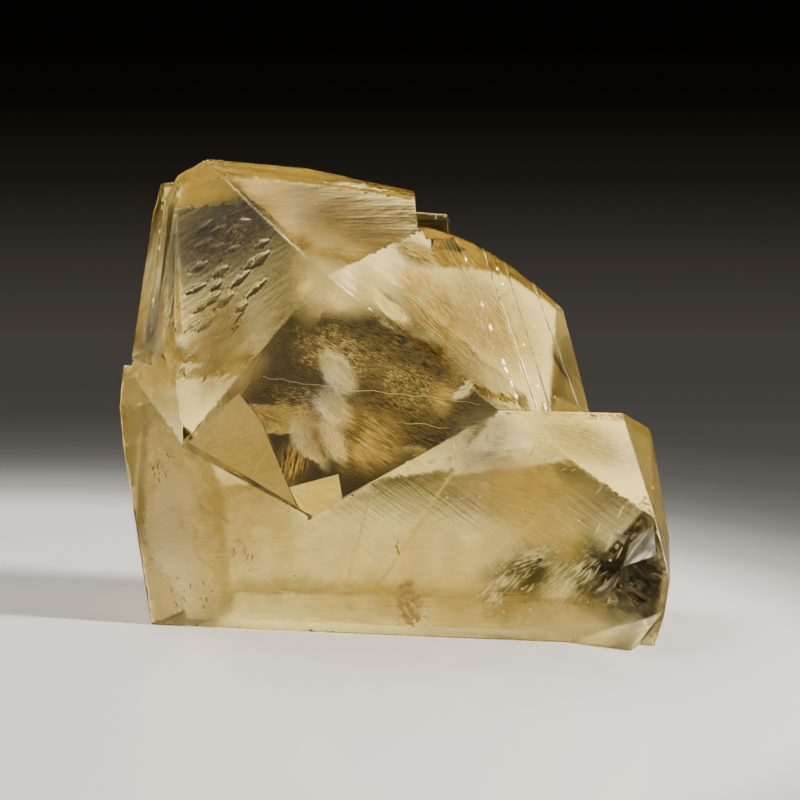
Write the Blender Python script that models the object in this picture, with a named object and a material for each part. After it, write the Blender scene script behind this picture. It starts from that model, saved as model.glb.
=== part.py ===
"""A twinned calcite specimen: honey-coloured crystals grown through each other.

Each individual is a block of calcite cut back to its crystal faces, and the individuals are
joined, as intergrown crystals are, in one solid. The specimen stands on a flat cleavage floor,
with its front to -Y and its origin under the middle of its bounding box.
"""
import math
import random
from typing import NamedTuple

import bmesh
import bpy
from mathutils import Matrix, Vector


class Face(NamedTuple):
    """A crystal face: its bearing (0 to the front, 90 to the right), how far it looks up, and
    its distance from the middle of its individual."""

    facing_deg: float
    tilt_deg: float
    reach_mm: float


class Layer(NamedTuple):
    """A growth layer: how high it stands on its face, and the face in which it ends."""

    rise_mm: float
    end: Face


MM = 0.001
ROUGH_BLOCK = 240 * MM
LAYER_MARGIN_MM = 0.08
SPECIMEN_NAME = "twinned_calcite"

HONEY = (0.74, 0.56, 0.27, 1.0)
POLISH = 0.08
CALCITE_IOR = 1.6

# Middles of the individuals in millimetres, with the floor at height 0
UPPER_CENTRE = Vector((-4.0, 12.0, 42.0))
LOWER_CENTRE = Vector((0.0, 16.0, 16.0))
FOOT_CENTRE = Vector((33.8, -9.8, 0.0))
TABLET_CENTRE = Vector((5.4, 17.0, 58.6))

# Upper individual: a thick rhomb leaning to the front, with its gable at the left
UPPER_FACES = {
    "window": Face(9.9, -23.2, 11.7),
    "etched": Face(-31.8, 11.3, 21.1),
    "gable": Face(28.2, 54.3, 17.7),
    "flank": Face(43.5, 19.7, 13.2),
    "outer_flank": Face(50.4, 20.6, 14.5),
    "far_flank": Face(57.0, 21.0, 16.2),
    "etched_corner": Face(-55.1, 7.2, 27.3),
    "left": Face(-60.0, 2.0, 28.6),
    "left_high": Face(-68.7, 8.5, 30.2),
    "left_rear": Face(-112.6, 8.0, 33.9),
    "underside": Face(-105.6, -53.4, 24.9),
    "gable_corner": Face(-99.0, 54.2, 36.9),
    "gable_shoulder": Face(-145.6, 72.3, 29.4),
    "gable_rear_left": Face(-168.2, 50.3, 21.7),
    "gable_rear_right": Face(172.5, 56.9, 21.6),
    "rear": Face(-170.0, 12.0, 13.7),
    "rear_left": Face(-135.0, -8.0, 34.0),
    "rear_right": Face(148.2, -6.0, 29.0),
    "right_end": Face(113.6, 6.0, 33.5),
    "buried_floor": Face(180.0, -72.0, 25.6),
}
GABLE_LAYERS = (
    Layer(0.3, Face(15.4, 0.0, -1.0)),
    Layer(0.6, Face(17.0, 0.0, -2.6)),
)
FLANK_LAYERS = (
    Layer(0.25, Face(-90.0, -19.0, -20.5)),
    Layer(0.5, Face(-92.0, -18.0, -22.6)),
    Layer(0.75, Face(-88.0, -20.0, -26.4)),
)

# The gable ends at the right in a cliff, and the shoulder beyond it falls away in a curve
CLIFF = Face(-84.4, 2.2, -6.4)
SHOULDER_RIM = (
    Face(-174.0, 59.4, 13.5),
    Face(164.0, 57.3, 16.4),
    Face(157.0, 54.7, 17.9),
    Face(151.0, 51.7, 19.8),
)

# Wing: an individual behind the left end of the gable
WING_FACES = {
    "front": Face(-68.7, 8.5, 30.4),
    "left": Face(-112.6, 8.0, 34.1),
    "top": Face(176.0, 80.0, 23.4),
    "rear": Face(-165.0, 21.0, 19.6),
    "right_end": Face(104.0, 12.0, -20.0),
    "buried_front": Face(-31.0, 11.0, 17.5),
    "buried_floor": Face(0.0, -90.0, 3.0),
}

# Lower individual: a broad rhomb leaning back, tall at its left end
LOWER_FACES = {
    "front": Face(-12.0, 13.0, 9.7),
    "front_left": Face(-13.9, 11.3, 10.55),
    "right_top": Face(30.1, 51.1, 23.1),
    "right_slope": Face(74.8, 31.4, 36.1),
    "right_edge": Face(81.8, 15.9, 38.9),
    "right_rim_high": Face(117.8, 67.0, 25.7),
    "right_rim_low": Face(100.3, 44.1, 36.4),
    "right_high": Face(92.1, 9.1, 40.9),
    "right": Face(91.4, 5.0, 40.1),
    "right_low": Face(89.0, -9.4, 40.7),
    "right_undercut": Face(87.5, -17.6, 41.5),
    "rear_right": Face(140.0, 4.0, 34.0),
    "rear_heel": Face(140.0, -32.0, 30.5),
    "rear": Face(168.0, -13.0, 18.3),
    "rear_high": Face(172.0, 14.0, 20.0),
    "left_high": Face(-120.2, -2.0, 36.5),
    "left": Face(-119.3, -10.9, 33.7),
    "left_low": Face(-119.2, -15.2, 32.4),
    "top": Face(180.0, 72.0, 22.0),
    "floor": Face(0.0, -90.0, 16.0),
}
REAR_LAYERS = (
    Layer(0.35, Face(-60.0, 24.0, 4.0)),
    Layer(0.7, Face(-68.0, 18.0, -6.0)),
    Layer(1.05, Face(-52.0, 30.0, -16.0)),
)
# The right half of its top is lower than the left, which ends inside the upper individual
RIGHT_TOP = Face(176.6, 81.0, 15.2)
RIGHT_TOP_START = Face(-90.0, 0.0, 2.0)

FOOT_FACES = {
    "slope": Face(-36.3, 54.7, 0.0),
    "right": Face(67.6, -30.8, 0.0),
    "right_end": Face(87.5, -17.6, 3.2),
    "rear": Face(168.0, -13.0, 16.0),
    "left_end": Face(-90.0, 0.0, 24.0),
    "top": Face(0.0, 90.0, 6.5),
    "floor": Face(0.0, -90.0, 0.0),
}

# Cleavage tablet that stands on the shoulder beside the cliff
TABLET_FACES = {
    "front": Face(-8.0, 6.0, 2.4),
    "rear": Face(172.0, -6.0, 3.4),
    "right": Face(86.0, 4.0, 2.6),
    "left": Face(-94.0, -4.0, 3.4),
    "top": Face(150.0, 80.0, 2.2),
    "bottom": Face(-30.0, -80.0, 4.0),
}

# Hillocks on the etched face, each a low rhombic pyramid with its top cut off
HILLOCK_SEED = 7
HILLOCK_ROWS = 8
HILLOCK_COLUMNS = 4
HILLOCK_LENGTH_MM = (5.0, 9.0)
HILLOCK_WIDTH_MM = (1.7, 3.0)
HILLOCK_DEPTH_MM = 1.0
HILLOCK_RISE_MM = 0.22
HILLOCK_TOP_SHARE = 0.45
HILLOCK_LEAN_DEG = 6.0
HILLOCK_SLANT_DEG = (24.0, 44.0)

# The field of hillocks is a diamond on the etched face, measured from the face's middle
FIELD_LEFT_MM = -18.0
FIELD_RIGHT_MM = -3.0
FIELD_UP_MM = (-7.5, 16.0)
FIELD_WAIST_MM = 8.0
FIELD_TAPER = 0.8
FIELD_STRAY = 0.38


def face_normal(face: Face) -> Vector:
    """Unit vector that looks out of a face."""
    facing = math.radians(face.facing_deg)
    tilt = math.radians(face.tilt_deg)
    return Vector(
        (math.sin(facing) * math.cos(tilt), -math.cos(facing) * math.cos(tilt), math.sin(tilt))
    )


def opposite(face: Face) -> Face:
    """The same plane as a face, looking the other way."""
    return Face(face.facing_deg + 180.0, -face.tilt_deg, -face.reach_mm)


def grow_crystal(name: str, centre_mm: Vector, faces: list[Face]) -> bpy.types.Object:
    """Cut a rough block back to its crystal faces."""
    centre = centre_mm * MM
    bm = bmesh.new()
    bmesh.ops.create_cube(bm, size=ROUGH_BLOCK, matrix=Matrix.Translation(centre))
    for face in faces:
        normal = face_normal(face)
        bmesh.ops.bisect_plane(
            bm,
            geom=bm.verts[:] + bm.edges[:] + bm.faces[:],
            plane_co=centre + normal * face.reach_mm * MM,
            plane_no=normal,
            clear_outer=True,
        )
        bmesh.ops.holes_fill(bm, edges=bm.edges[:])
    bmesh.ops.recalc_face_normals(bm, faces=bm.faces[:])
    mesh = bpy.data.meshes.new(name)
    bm.to_mesh(mesh)
    bm.free()
    return bpy.data.objects.new(name, mesh)


class Intergrowth:
    """A crystal that others are joined to or cut from by exact Booleans."""

    def __init__(self, body: bpy.types.Object, tools: bpy.types.Collection) -> None:
        self.body = body
        self.tools = tools

    def add(self, crystal: bpy.types.Object) -> None:
        """Join a crystal to the body."""
        self._combine(crystal, "UNION")

    def cut(self, crystal: bpy.types.Object) -> None:
        """Cut a crystal's room out of the body."""
        self._combine(crystal, "DIFFERENCE")

    def add_layers(
        self, centre: Vector, faces: dict[str, Face], raised: tuple[str, ...], layers: tuple[Layer, ...]
    ) -> None:
        """Join growth layers to some faces of an individual, each a little short of its edges."""
        for number, layer in enumerate(layers):
            margin_mm = LAYER_MARGIN_MM * (number + 1)
            grown = [layer.end]
            for name, face in faces.items():
                rise_mm = layer.rise_mm if name in raised else -margin_mm
                grown.append(face._replace(reach_mm=face.reach_mm + rise_mm))
            self.add(grow_crystal(f"{raised[0]}_layer_{number}", centre, grown))

    def _combine(self, crystal: bpy.types.Object, operation: str) -> None:
        self.tools.objects.link(crystal)
        crystal.hide_render = True
        crystal.display_type = "WIRE"
        boolean = self.body.modifiers.new(crystal.name, "BOOLEAN")
        boolean.operation = operation
        boolean.solver = "EXACT"
        boolean.object = crystal


def etch_hillock(name: str, place: Matrix, rng: random.Random) -> bpy.types.Object:
    """A low rhombic hillock of a random size, with only its top out of the face it stands on."""
    size_mm = (rng.uniform(*HILLOCK_LENGTH_MM), rng.uniform(*HILLOCK_WIDTH_MM), HILLOCK_DEPTH_MM)
    bm = bmesh.new()
    bmesh.ops.create_cone(
        bm,
        cap_ends=True,
        segments=4,
        radius1=0.5,
        radius2=0.5 * HILLOCK_TOP_SHARE,
        depth=1.0,
        matrix=place @ Matrix.Diagonal((*Vector(size_mm) * MM, 1.0)),
    )
    mesh = bpy.data.meshes.new(name)
    bm.to_mesh(mesh)
    bm.free()
    return bpy.data.objects.new(name, mesh)


def add_hillocks(upper: Intergrowth) -> None:
    """Scatter hillocks in slanting rows over the etched face."""
    rng = random.Random(HILLOCK_SEED)
    face = UPPER_FACES["etched"]
    outward = face_normal(face)
    across = Vector((0.0, 0.0, 1.0)).cross(outward).normalized()
    up = outward.cross(across)
    face_frame = Matrix((across, up, outward)).transposed().to_4x4()
    sink_mm = HILLOCK_DEPTH_MM / 2 - HILLOCK_RISE_MM
    middle = UPPER_CENTRE + outward * (face.reach_mm - sink_mm)
    low, high = FIELD_UP_MM
    row_height = (high - low) / HILLOCK_ROWS
    for row in range(HILLOCK_ROWS):
        row_up = low + row_height * (row + 0.5)
        row_width = FIELD_RIGHT_MM - FIELD_LEFT_MM - FIELD_TAPER * abs(row_up - FIELD_WAIST_MM)
        for column in range(HILLOCK_COLUMNS):
            share = (column + 0.5 + rng.uniform(-FIELD_STRAY, FIELD_STRAY)) / HILLOCK_COLUMNS
            spot_up = row_up + row_height * rng.uniform(-FIELD_STRAY, FIELD_STRAY)
            spot = middle + across * (FIELD_LEFT_MM + row_width * share) + up * spot_up
            slant = Matrix.Rotation(math.radians(rng.uniform(*HILLOCK_SLANT_DEG)), 4, "Z")
            lean = Matrix.Rotation(math.radians(HILLOCK_LEAN_DEG), 4, "X")
            place = Matrix.Translation(spot * MM) @ face_frame @ slant @ lean
            upper.add(etch_hillock(f"hillock_{row}_{column}", place, rng))


def calcite() -> bpy.types.Material:
    """Clear honey-coloured calcite."""
    material = bpy.data.materials.new("honey_calcite")
    material.use_nodes = True
    shader = material.node_tree.nodes["Principled BSDF"]
    shader.inputs["Base Color"].default_value = HONEY
    shader.inputs["Roughness"].default_value = POLISH
    shader.inputs["Metallic"].default_value = 0.0
    shader.inputs["IOR"].default_value = CALCITE_IOR
    shader.inputs["Transmission Weight"].default_value = 1.0
    return material


def build_upper(tools: bpy.types.Collection) -> Intergrowth:
    """The upper individual with its growth layers, its cliff and its curved shoulder."""
    body = grow_crystal(SPECIMEN_NAME, UPPER_CENTRE, list(UPPER_FACES.values()))
    upper = Intergrowth(body, tools)
    upper.add_layers(UPPER_CENTRE, UPPER_FACES, ("gable",), GABLE_LAYERS)
    upper.add_layers(UPPER_CENTRE, UPPER_FACES, ("outer_flank", "far_flank"), FLANK_LAYERS)
    for number, rim in enumerate(SHOULDER_RIM):
        upper.cut(grow_crystal(f"shoulder_room_{number}", UPPER_CENTRE, [opposite(rim), CLIFF]))
    add_hillocks(upper)
    return upper


def build_lower(tools: bpy.types.Collection) -> bpy.types.Object:
    """The lower individual, whose top is lower at the right."""
    body = grow_crystal("lower_individual", LOWER_CENTRE, list(LOWER_FACES.values()))
    lower = Intergrowth(body, tools)
    lower.add_layers(LOWER_CENTRE, LOWER_FACES, ("rear",), REAR_LAYERS)
    room = [opposite(RIGHT_TOP), RIGHT_TOP_START]
    lower.cut(grow_crystal("right_top_room", LOWER_CENTRE, room))
    return body


def stand_on_origin(specimen: Intergrowth) -> None:
    """Move a specimen and its tools so that it stands on the origin, with its middle over it."""
    evaluated = specimen.body.evaluated_get(bpy.context.evaluated_depsgraph_get())
    corners = [Vector(corner) for corner in evaluated.bound_box]
    under_middle = sum(corners, Vector()) / len(corners)
    under_middle.z = min(corner.z for corner in corners)
    for obj in (specimen.body, *specimen.tools.objects):
        obj.location = -under_middle


def main() -> None:
    """Build the specimen from its individuals and stand it on the origin."""
    for obj in list(bpy.data.objects):
        bpy.data.objects.remove(obj)
    collection = bpy.data.collections.new(SPECIMEN_NAME)
    tools = bpy.data.collections.new("cutters")
    bpy.context.scene.collection.children.link(collection)
    bpy.context.scene.collection.children.link(tools)

    specimen = build_upper(tools)
    collection.objects.link(specimen.body)
    specimen.add(grow_crystal("wing", UPPER_CENTRE, list(WING_FACES.values())))
    specimen.add(build_lower(tools))
    specimen.add(grow_crystal("foot", FOOT_CENTRE, list(FOOT_FACES.values())))
    specimen.add(grow_crystal("tablet", TABLET_CENTRE, list(TABLET_FACES.values())))
    specimen.body.data.materials.append(calcite())
    stand_on_origin(specimen)


main()
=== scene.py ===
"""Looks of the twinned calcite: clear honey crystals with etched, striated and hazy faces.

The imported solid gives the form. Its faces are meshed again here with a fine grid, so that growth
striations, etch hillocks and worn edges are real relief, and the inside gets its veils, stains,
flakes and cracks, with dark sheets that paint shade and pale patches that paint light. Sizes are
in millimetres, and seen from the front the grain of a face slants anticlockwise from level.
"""
import logging
import math
from collections import Counter, defaultdict
from dataclasses import dataclass, field
from enum import Enum
from functools import cache

import bmesh
import bpy
import numpy as np
from mathutils import Matrix, Vector, geometry, noise
from mathutils.bvhtree import BVHTree


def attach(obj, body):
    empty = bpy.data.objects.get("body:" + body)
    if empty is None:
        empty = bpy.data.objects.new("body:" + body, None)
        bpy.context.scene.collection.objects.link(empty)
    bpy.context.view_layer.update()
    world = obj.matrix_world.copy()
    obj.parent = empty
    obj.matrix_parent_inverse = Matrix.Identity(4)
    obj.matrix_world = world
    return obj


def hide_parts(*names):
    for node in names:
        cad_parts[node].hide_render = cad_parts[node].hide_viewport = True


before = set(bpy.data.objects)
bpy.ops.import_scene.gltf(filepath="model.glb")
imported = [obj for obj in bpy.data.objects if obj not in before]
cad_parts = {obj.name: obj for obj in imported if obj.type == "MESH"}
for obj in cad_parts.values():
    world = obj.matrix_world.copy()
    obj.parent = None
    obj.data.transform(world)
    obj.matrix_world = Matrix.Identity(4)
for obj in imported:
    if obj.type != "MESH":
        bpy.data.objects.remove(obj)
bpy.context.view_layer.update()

MM = 0.001
BODY = "root"
NODE = "twinned_calcite"
LOG = logging.getLogger("twinned_calcite")

# A length that counts as none, how close two corners are that count as one, in metres, and how
# far off an edge a point lies on it, in millimetres
TINY = 1e-12
WELD = 1e-6
CUT_SLACK = 1e-7
# An etched groove's half width, and how far a blunt edge is worn back for its bluntness
GROOVE_MM = 0.12
WEAR_GAIN = 6.0
# The even share of an edge's wear, the share that comes and goes, and how fast it does so for
# each millimetre
CHIPPING = (0.75, 0.6, 0.8)
# Shares of the worn band and of a grid step that stay free of points beside an edge
BAND_CLEAR = 0.9
GRID_CLEAR = 0.35
# Where a painted spot ends, in its own reach, and how it falls off
SPOT_EDGE = 1.25
SPOT_FALL = 1.5
# Where a veil starts to fade and ends, how far its mesh goes, and how fast its surface ripples
VEIL_RIM = (0.1, 1.0)
VEIL_REACH = 1.06
RIPPLE_PER_MM = 0.22
# Noise value at which a veil without cover ends, how far full cover lowers it, and how far the
# rim raises it
VEIL_LEVEL = (0.75, 0.5, 0.15)
# How far apart the patterns of two sheets, or of two crisp inner faces, are set for each millimetre
# between them
PATTERN_SHIFT = 7.0
CRISP_FACE_SHIFT = 3.0
# How the noise of hair-fine lines is stretched, and which of its values count as dull and bright
HAIR_STRETCH = (0.28, 2.6, 1.0)
HAIR_CONTRAST = (0.36, 0.66)
# How fine the flakes are mottled, for each metre, and how their sizes vary
FLAKE_MOTTLE = 900.0
FLAKE_SIZES = (0.25, 1.3)
# Square centimetres in a square metre
CM2_IN_M2 = 1e4
# Spacing of a crack line's points, in metres, and half the share of its thickness that its ends
# keep
CRACK_STEP = 0.35 * MM
CRACK_END = 0.12
# One over the product of the three shares in the middle of a triangle
MIDDLE_GAIN = 27.0

Colour = tuple[float, float, float]
Place = tuple[float, float, float]


class Relief(Enum):
    """The kinds of relief that a crystal face can carry."""

    SMOOTH = "smooth"
    STRIATED = "striated"
    ETCHED = "etched"
    WAVY = "wavy"


class Tint(Enum):
    """The surface effects that are painted in spots on the crystal."""

    STAIN = "stain"
    MILK = "milk"
    # Paler tint, painted to stand in for brighter glow and glints
    PALE_PAINTED_LIGHT = "pale"


def looking(facing_deg: float, tilt_deg: float) -> np.ndarray:
    """Unit vector with a bearing, 0 to the front and 90 to the right, and an upward tilt."""
    facing, tilt = math.radians(facing_deg), math.radians(tilt_deg)
    level = math.cos(tilt)
    return np.array((math.sin(facing) * level, -math.cos(facing) * level, math.sin(tilt)))


@dataclass(frozen=True)
class FaceStyle:
    """How the crystal face that looks in one direction is grained.

    Attributes:
        facing_deg: Bearing of the face, 0 to the front and 90 to the right.
        tilt_deg: How far the face looks up.
        relief: Kind of relief.
        grain_deg: Slant of its grain, anticlockwise from level as seen from outside.
        grid_mm: Mesh spacing across and along the grain.
        depth_mm: Depth of the relief.
        pitch_mm: Width and length of one ridge, dash or wave.
        frost: Roughness of the polished face, before any local haze.
    """

    facing_deg: float
    tilt_deg: float
    relief: Relief = Relief.SMOOTH
    grain_deg: float = 0.0
    grid_mm: tuple[float, float] = (0.9, 0.9)
    depth_mm: float = 0.0
    pitch_mm: tuple[float, float] = (1.0, 8.0)
    frost: float = 0.05

    def normal(self) -> np.ndarray:
        """Unit vector that looks out of the face."""
        return looking(self.facing_deg, self.tilt_deg)


SMOOTH, STRIATED, ETCHED, WAVY = Relief
PLAIN = FaceStyle(0.0, 0.0, depth_mm=0.015, pitch_mm=(2.5, 6.0), frost=0.12)
FACE_STYLES = {
    "window": FaceStyle(9.9, -23.2, SMOOTH, 30.0, (0.8, 0.8), 0.012, (2.0, 6.0), 0.03),
    "etched": FaceStyle(-31.8, 11.3, ETCHED, 36.0, (0.16, 0.34), 0.05, (1.1, 2.4), 0.09),
    "gable": FaceStyle(28.2, 54.3, STRIATED, -2.0, (0.26, 1.3), 0.05, (0.7, 16.0), 0.16),
    "flank": FaceStyle(43.5, 19.7, STRIATED, -46.0, (0.2, 1.0), 0.085, (0.8, 12.0), 0.08),
    "outer_flank": FaceStyle(50.4, 20.6, STRIATED, -62.0, (0.25, 1.1), 0.05, (0.8, 11.0), 0.15),
    "far_flank": FaceStyle(57.0, 21.0, STRIATED, -66.0, (0.25, 1.1), 0.05, (0.8, 11.0), 0.18),
    "etched_corner": FaceStyle(-55.1, 7.2, ETCHED, 78.0, (0.16, 0.34), 0.08, (0.9, 2.2), 0.1),
    "left": FaceStyle(-60.0, 2.0, STRIATED, 82.0, (0.4, 1.6), 0.05, (1.0, 14.0), 0.2),
    "left_high": FaceStyle(-68.7, 8.5, STRIATED, 82.0, (0.4, 1.6), 0.05, (1.0, 14.0), 0.22),
    "front": FaceStyle(-12.0, 13.0, SMOOTH, -34.0, (0.7, 1.2), 0.03, (3.0, 9.0), 0.13),
    "right_top": FaceStyle(30.1, 51.1, STRIATED, -36.0, (0.4, 1.3), 0.05, (1.2, 10.0), 0.09),
    "right_slope": FaceStyle(74.8, 31.4, STRIATED, -75.0, (0.3, 1.4), 0.05, (0.7, 12.0), 0.16),
    "foot": FaceStyle(-36.3, 54.7, STRIATED, 24.0, (0.25, 1.0), 0.1, (1.1, 9.0), 0.1),
    "rear": FaceStyle(-170.0, 12.0, WAVY, -30.0, (0.25, 0.7), 0.08, (5.0, 9.0), 0.06),
    "lower_rear": FaceStyle(168.0, -13.0, WAVY, -32.0, (0.3, 0.7), 0.10, (4.6, 8.0), 0.14),
    "rear_heel": FaceStyle(140.0, -32.0, WAVY, 40.0, (0.3, 0.6), 0.12, (3.0, 6.0), 0.05),
    "floor": FaceStyle(0.0, -90.0, frost=0.35),
}


@dataclass(frozen=True)
class Spot:
    """A soft-edged patch of colour, haze or painted light on the crystal's surface.

    Attributes:
        tint: What it is.
        centre: Its middle.
        reach: How far it goes along the long axis and across it.
        slant_deg: Slant of its long axis as seen from the front.
        strength: Its strength in the middle.
    """

    tint: Tint
    centre: Place
    reach: tuple[float, float]
    slant_deg: float = 0.0
    strength: float = 1.0

    def mask(self, places: np.ndarray) -> np.ndarray:
        """The spot's strength at each place.

        Args:
            places: Rows of coordinates in millimetres.

        Returns:
            One strength for each place.
        """
        offset = places - np.array(self.centre)
        slant = math.radians(self.slant_deg)
        along = offset[:, 0] * math.cos(slant) + offset[:, 2] * math.sin(slant)
        across = offset[:, 2] * math.cos(slant) - offset[:, 0] * math.sin(slant)
        long, wide = self.reach
        away = np.sqrt((along / long) ** 2 + (across / wide) ** 2 + (offset[:, 1] / long) ** 2)
        return self.strength * np.clip(SPOT_EDGE - away, 0.0, 1.0) ** SPOT_FALL


SPOTS = (
    Spot(Tint.STAIN, (-5.5, -10.5, 59.8), (6.0, 2.6), -12.0, 0.55),
    Spot(Tint.STAIN, (-1.9, -11.3, 58.2), (4.0, 1.8), -20.0, 0.3),
    Spot(Tint.STAIN, (4.0, -11.8, 49.5), (6.5, 4.0), -48.0, 0.35),
    Spot(Tint.STAIN, (7.7, -10.5, 44.8), (5.0, 3.0), -50.0, 0.3),
    Spot(Tint.MILK, (-8.9, -21.0, 53.9), (5.5, 3.4), -20.0, 1.0),
    Spot(Tint.MILK, (-10.6, -21.7, 52.5), (3.0, 4.5), 0.0, 0.9),
    Spot(Tint.MILK, (21.5, 2.3, 41.7), (5.0, 3.2), -55.0, 0.3),
    Spot(Tint.MILK, (27.0, -8.8, 28.3), (9.0, 3.0), -30.0, 0.2),
    Spot(Tint.MILK, (-27.5, -9.0, 67.5), (5.0, 2.5), 10.0, 0.6),
    # The pale spots paint light: they lift the tint towards white for brighter glow, and for whiter
    # glints over the window
    Spot(Tint.PALE_PAINTED_LIGHT, (-25.0, -12.0, 58.0), (15.0, 8.5), 27.0, 1.0),
    Spot(Tint.PALE_PAINTED_LIGHT, (-36.0, -5.0, 48.0), (6.0, 14.0), 0.0, 1.0),
    Spot(Tint.PALE_PAINTED_LIGHT, (37.0, -17.0, 9.0), (9.0, 11.0), 0.0, 1.0),
    Spot(Tint.PALE_PAINTED_LIGHT, (37.5, -8.0, 26.0), (7.0, 14.0), 0.0, 0.7),
    Spot(Tint.PALE_PAINTED_LIGHT, (-9.5, -12.5, 36.0), (11.0, 5.0), 75.0, 0.8),
    Spot(Tint.PALE_PAINTED_LIGHT, (14.0, -10.0, 26.0), (8.0, 8.0), 0.0, 0.6),
    Spot(Tint.PALE_PAINTED_LIGHT, (-34.0, -4.0, 12.0), (28.0, 10.0), 90.0, 0.7),
    Spot(Tint.PALE_PAINTED_LIGHT, (-25.0, -13.5, 42.0), (16.0, 10.0), 60.0, 0.35),
    Spot(Tint.PALE_PAINTED_LIGHT, (-8.0, -10.0, 61.0), (16.0, 7.0), -12.0, 0.8),
)


@dataclass
class Region:
    """One flat face of the crystal.

    Attributes:
        normal: Unit vector out of the face.
        origin: A point on it.
        triangles: Rows of the source mesh's triangles that lie in it.
        style: How it is grained.
        level_sine: Sine of the tilt off level up to which the face has no way up.
    """

    normal: np.ndarray
    origin: np.ndarray
    triangles: list[int] = field(default_factory=list)
    style: FaceStyle = PLAIN
    level_sine: float = 1e-3

    def axes(self) -> tuple[np.ndarray, np.ndarray]:
        """Directions across and along the face's grain.

        Returns:
            Two unit vectors in the face, the first across the grain and the second along it.
        """
        level = np.cross((0.0, 0.0, 1.0), self.normal)
        if np.linalg.norm(level) < self.level_sine:
            level = np.array((1.0, 0.0, 0.0))
        level /= np.linalg.norm(level)
        upward = np.cross(self.normal, level)
        slant = math.radians(self.style.grain_deg)
        along = level * math.cos(slant) + upward * math.sin(slant)
        return np.cross(along, self.normal), along

    def seed(self) -> float:
        """A number that differs from face to face."""
        return float(self.normal @ (7.0, 3.0, 1.0)) + 0.1 * float(self.origin @ self.normal)


def triangle_edges(corners: np.ndarray) -> list[frozenset[int]]:
    """The three edges of a triangle, each by the numbers of its two corners."""
    first, second, third = (int(corner) for corner in corners)
    return [frozenset(pair) for pair in ((first, second), (second, third), (third, first))]


def distance_to_segments(points: np.ndarray, starts: np.ndarray, ends: np.ndarray) -> np.ndarray:
    """Distance from each point to the nearest segment, in the plane.

    Args:
        points: Rows of plane coordinates.
        starts: First ends of the segments.
        ends: Second ends of the segments.

    Returns:
        One distance for each point.
    """
    nearest = np.full(len(points), np.inf)
    for start, end in zip(starts, ends):
        run = end - start
        share = np.clip((points - start) @ run / max(run @ run, TINY), 0.0, 1.0)
        nearest = np.minimum(nearest, np.linalg.norm(points - start - share[:, None] * run, axis=1))
    return nearest


def inside_outline(points: np.ndarray, starts: np.ndarray, ends: np.ndarray) -> np.ndarray:
    """Whether each point lies inside closed outlines, holes left out.

    Args:
        points: Rows of plane coordinates.
        starts: First ends of the outlines' segments.
        ends: Second ends of the outlines' segments.

    Returns:
        One truth value for each point.
    """
    inside = np.zeros(len(points), bool)
    x, y = points.T
    for (x0, y0), (x1, y1) in zip(starts, ends):
        if y0 != y1:
            crossing = (y0 > y) != (y1 > y)
            inside ^= crossing & (x < (x1 - x0) * (y - y0) / (y1 - y0) + x0)
    return inside


def smooth_share(value: float, low: float, high: float) -> float:
    """Share of the way from low to high, eased at both ends and kept between 0 and 1."""
    share = max(0.0, min(1.0, (value - low) / (high - low)))
    return share * share * (3.0 - 2.0 * share)


def dash_rows(across: float, along: float, pitch: tuple[float, float], seed: float) -> float:
    """Rows of thin broken grooves, as etching leaves them.

    Args:
        across: Distance across the rows.
        along: Distance along the rows.
        pitch: Spacing of the rows and length of a dash.
        seed: A number that differs from face to face.

    Returns:
        Share of the groove's depth, from 0 beside a groove to 1 in it.
    """
    spacing, length = pitch
    sway = 0.8 * noise.noise(Vector((across / spacing * 0.3, along / length * 0.45, seed + 3.0)))
    row = across / spacing + sway
    away = (row % 1.0 - 0.5) * spacing / GROOVE_MM
    broken = noise.noise(Vector((math.floor(row) * 5.3, along / length * 1.5, seed)))
    return math.exp(-away * away) * smooth_share(broken, -0.05, 0.12)


def relief_height(style: FaceStyle, across: float, along: float, seed: float) -> float:
    """Relief at a place on a face, from 0 at the face down to -1 at its deepest.

    Args:
        style: How the face is grained.
        across: Distance across the grain.
        along: Distance along the grain.
        seed: A number that differs from face to face.

    Returns:
        Height as a share of the style's depth.
    """
    width, length = style.pitch_mm
    spot = Vector((across / width, along / length, seed))
    if style.relief is Relief.ETCHED:
        # Long dashes, finer ones between them, and slight pitting
        fine = noise.noise(Vector((spot.x * 1.7, spot.y * 0.9, seed + 8.0)))
        return (-0.65 * dash_rows(across, along, (width, length), seed) - 0.15 * abs(fine)
                - 0.35 * dash_rows(across, along, (width * 0.55, length * 0.6), seed + 11.0))
    if style.relief is Relief.STRIATED:
        # Sharp ridges that come and go in broad bands, with fine lines on them
        broad = noise.noise(spot * 0.45)
        fine = noise.noise(spot)
        finest = noise.noise(Vector((spot.x * 2.1, spot.y * 1.3, seed)))
        ridge = 1.0 - 2.2 * abs(fine)
        return -0.5 - 0.22 * broad - 0.35 * ridge * (0.6 + broad) - 0.2 * finest
    if style.relief is Relief.WAVY:
        # Broad warped waves, with thin broken grooves along them
        warp = noise.noise(spot * 0.6) * 1.4
        wave = noise.noise(Vector((spot.x + warp, spot.y, seed)))
        lines = dash_rows(across + warp, along, (width * 0.22, length), seed + 5.0)
        return -0.4 - 0.35 * wave - 0.3 * lines
    return -0.5 - 0.5 * noise.noise(spot)


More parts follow.
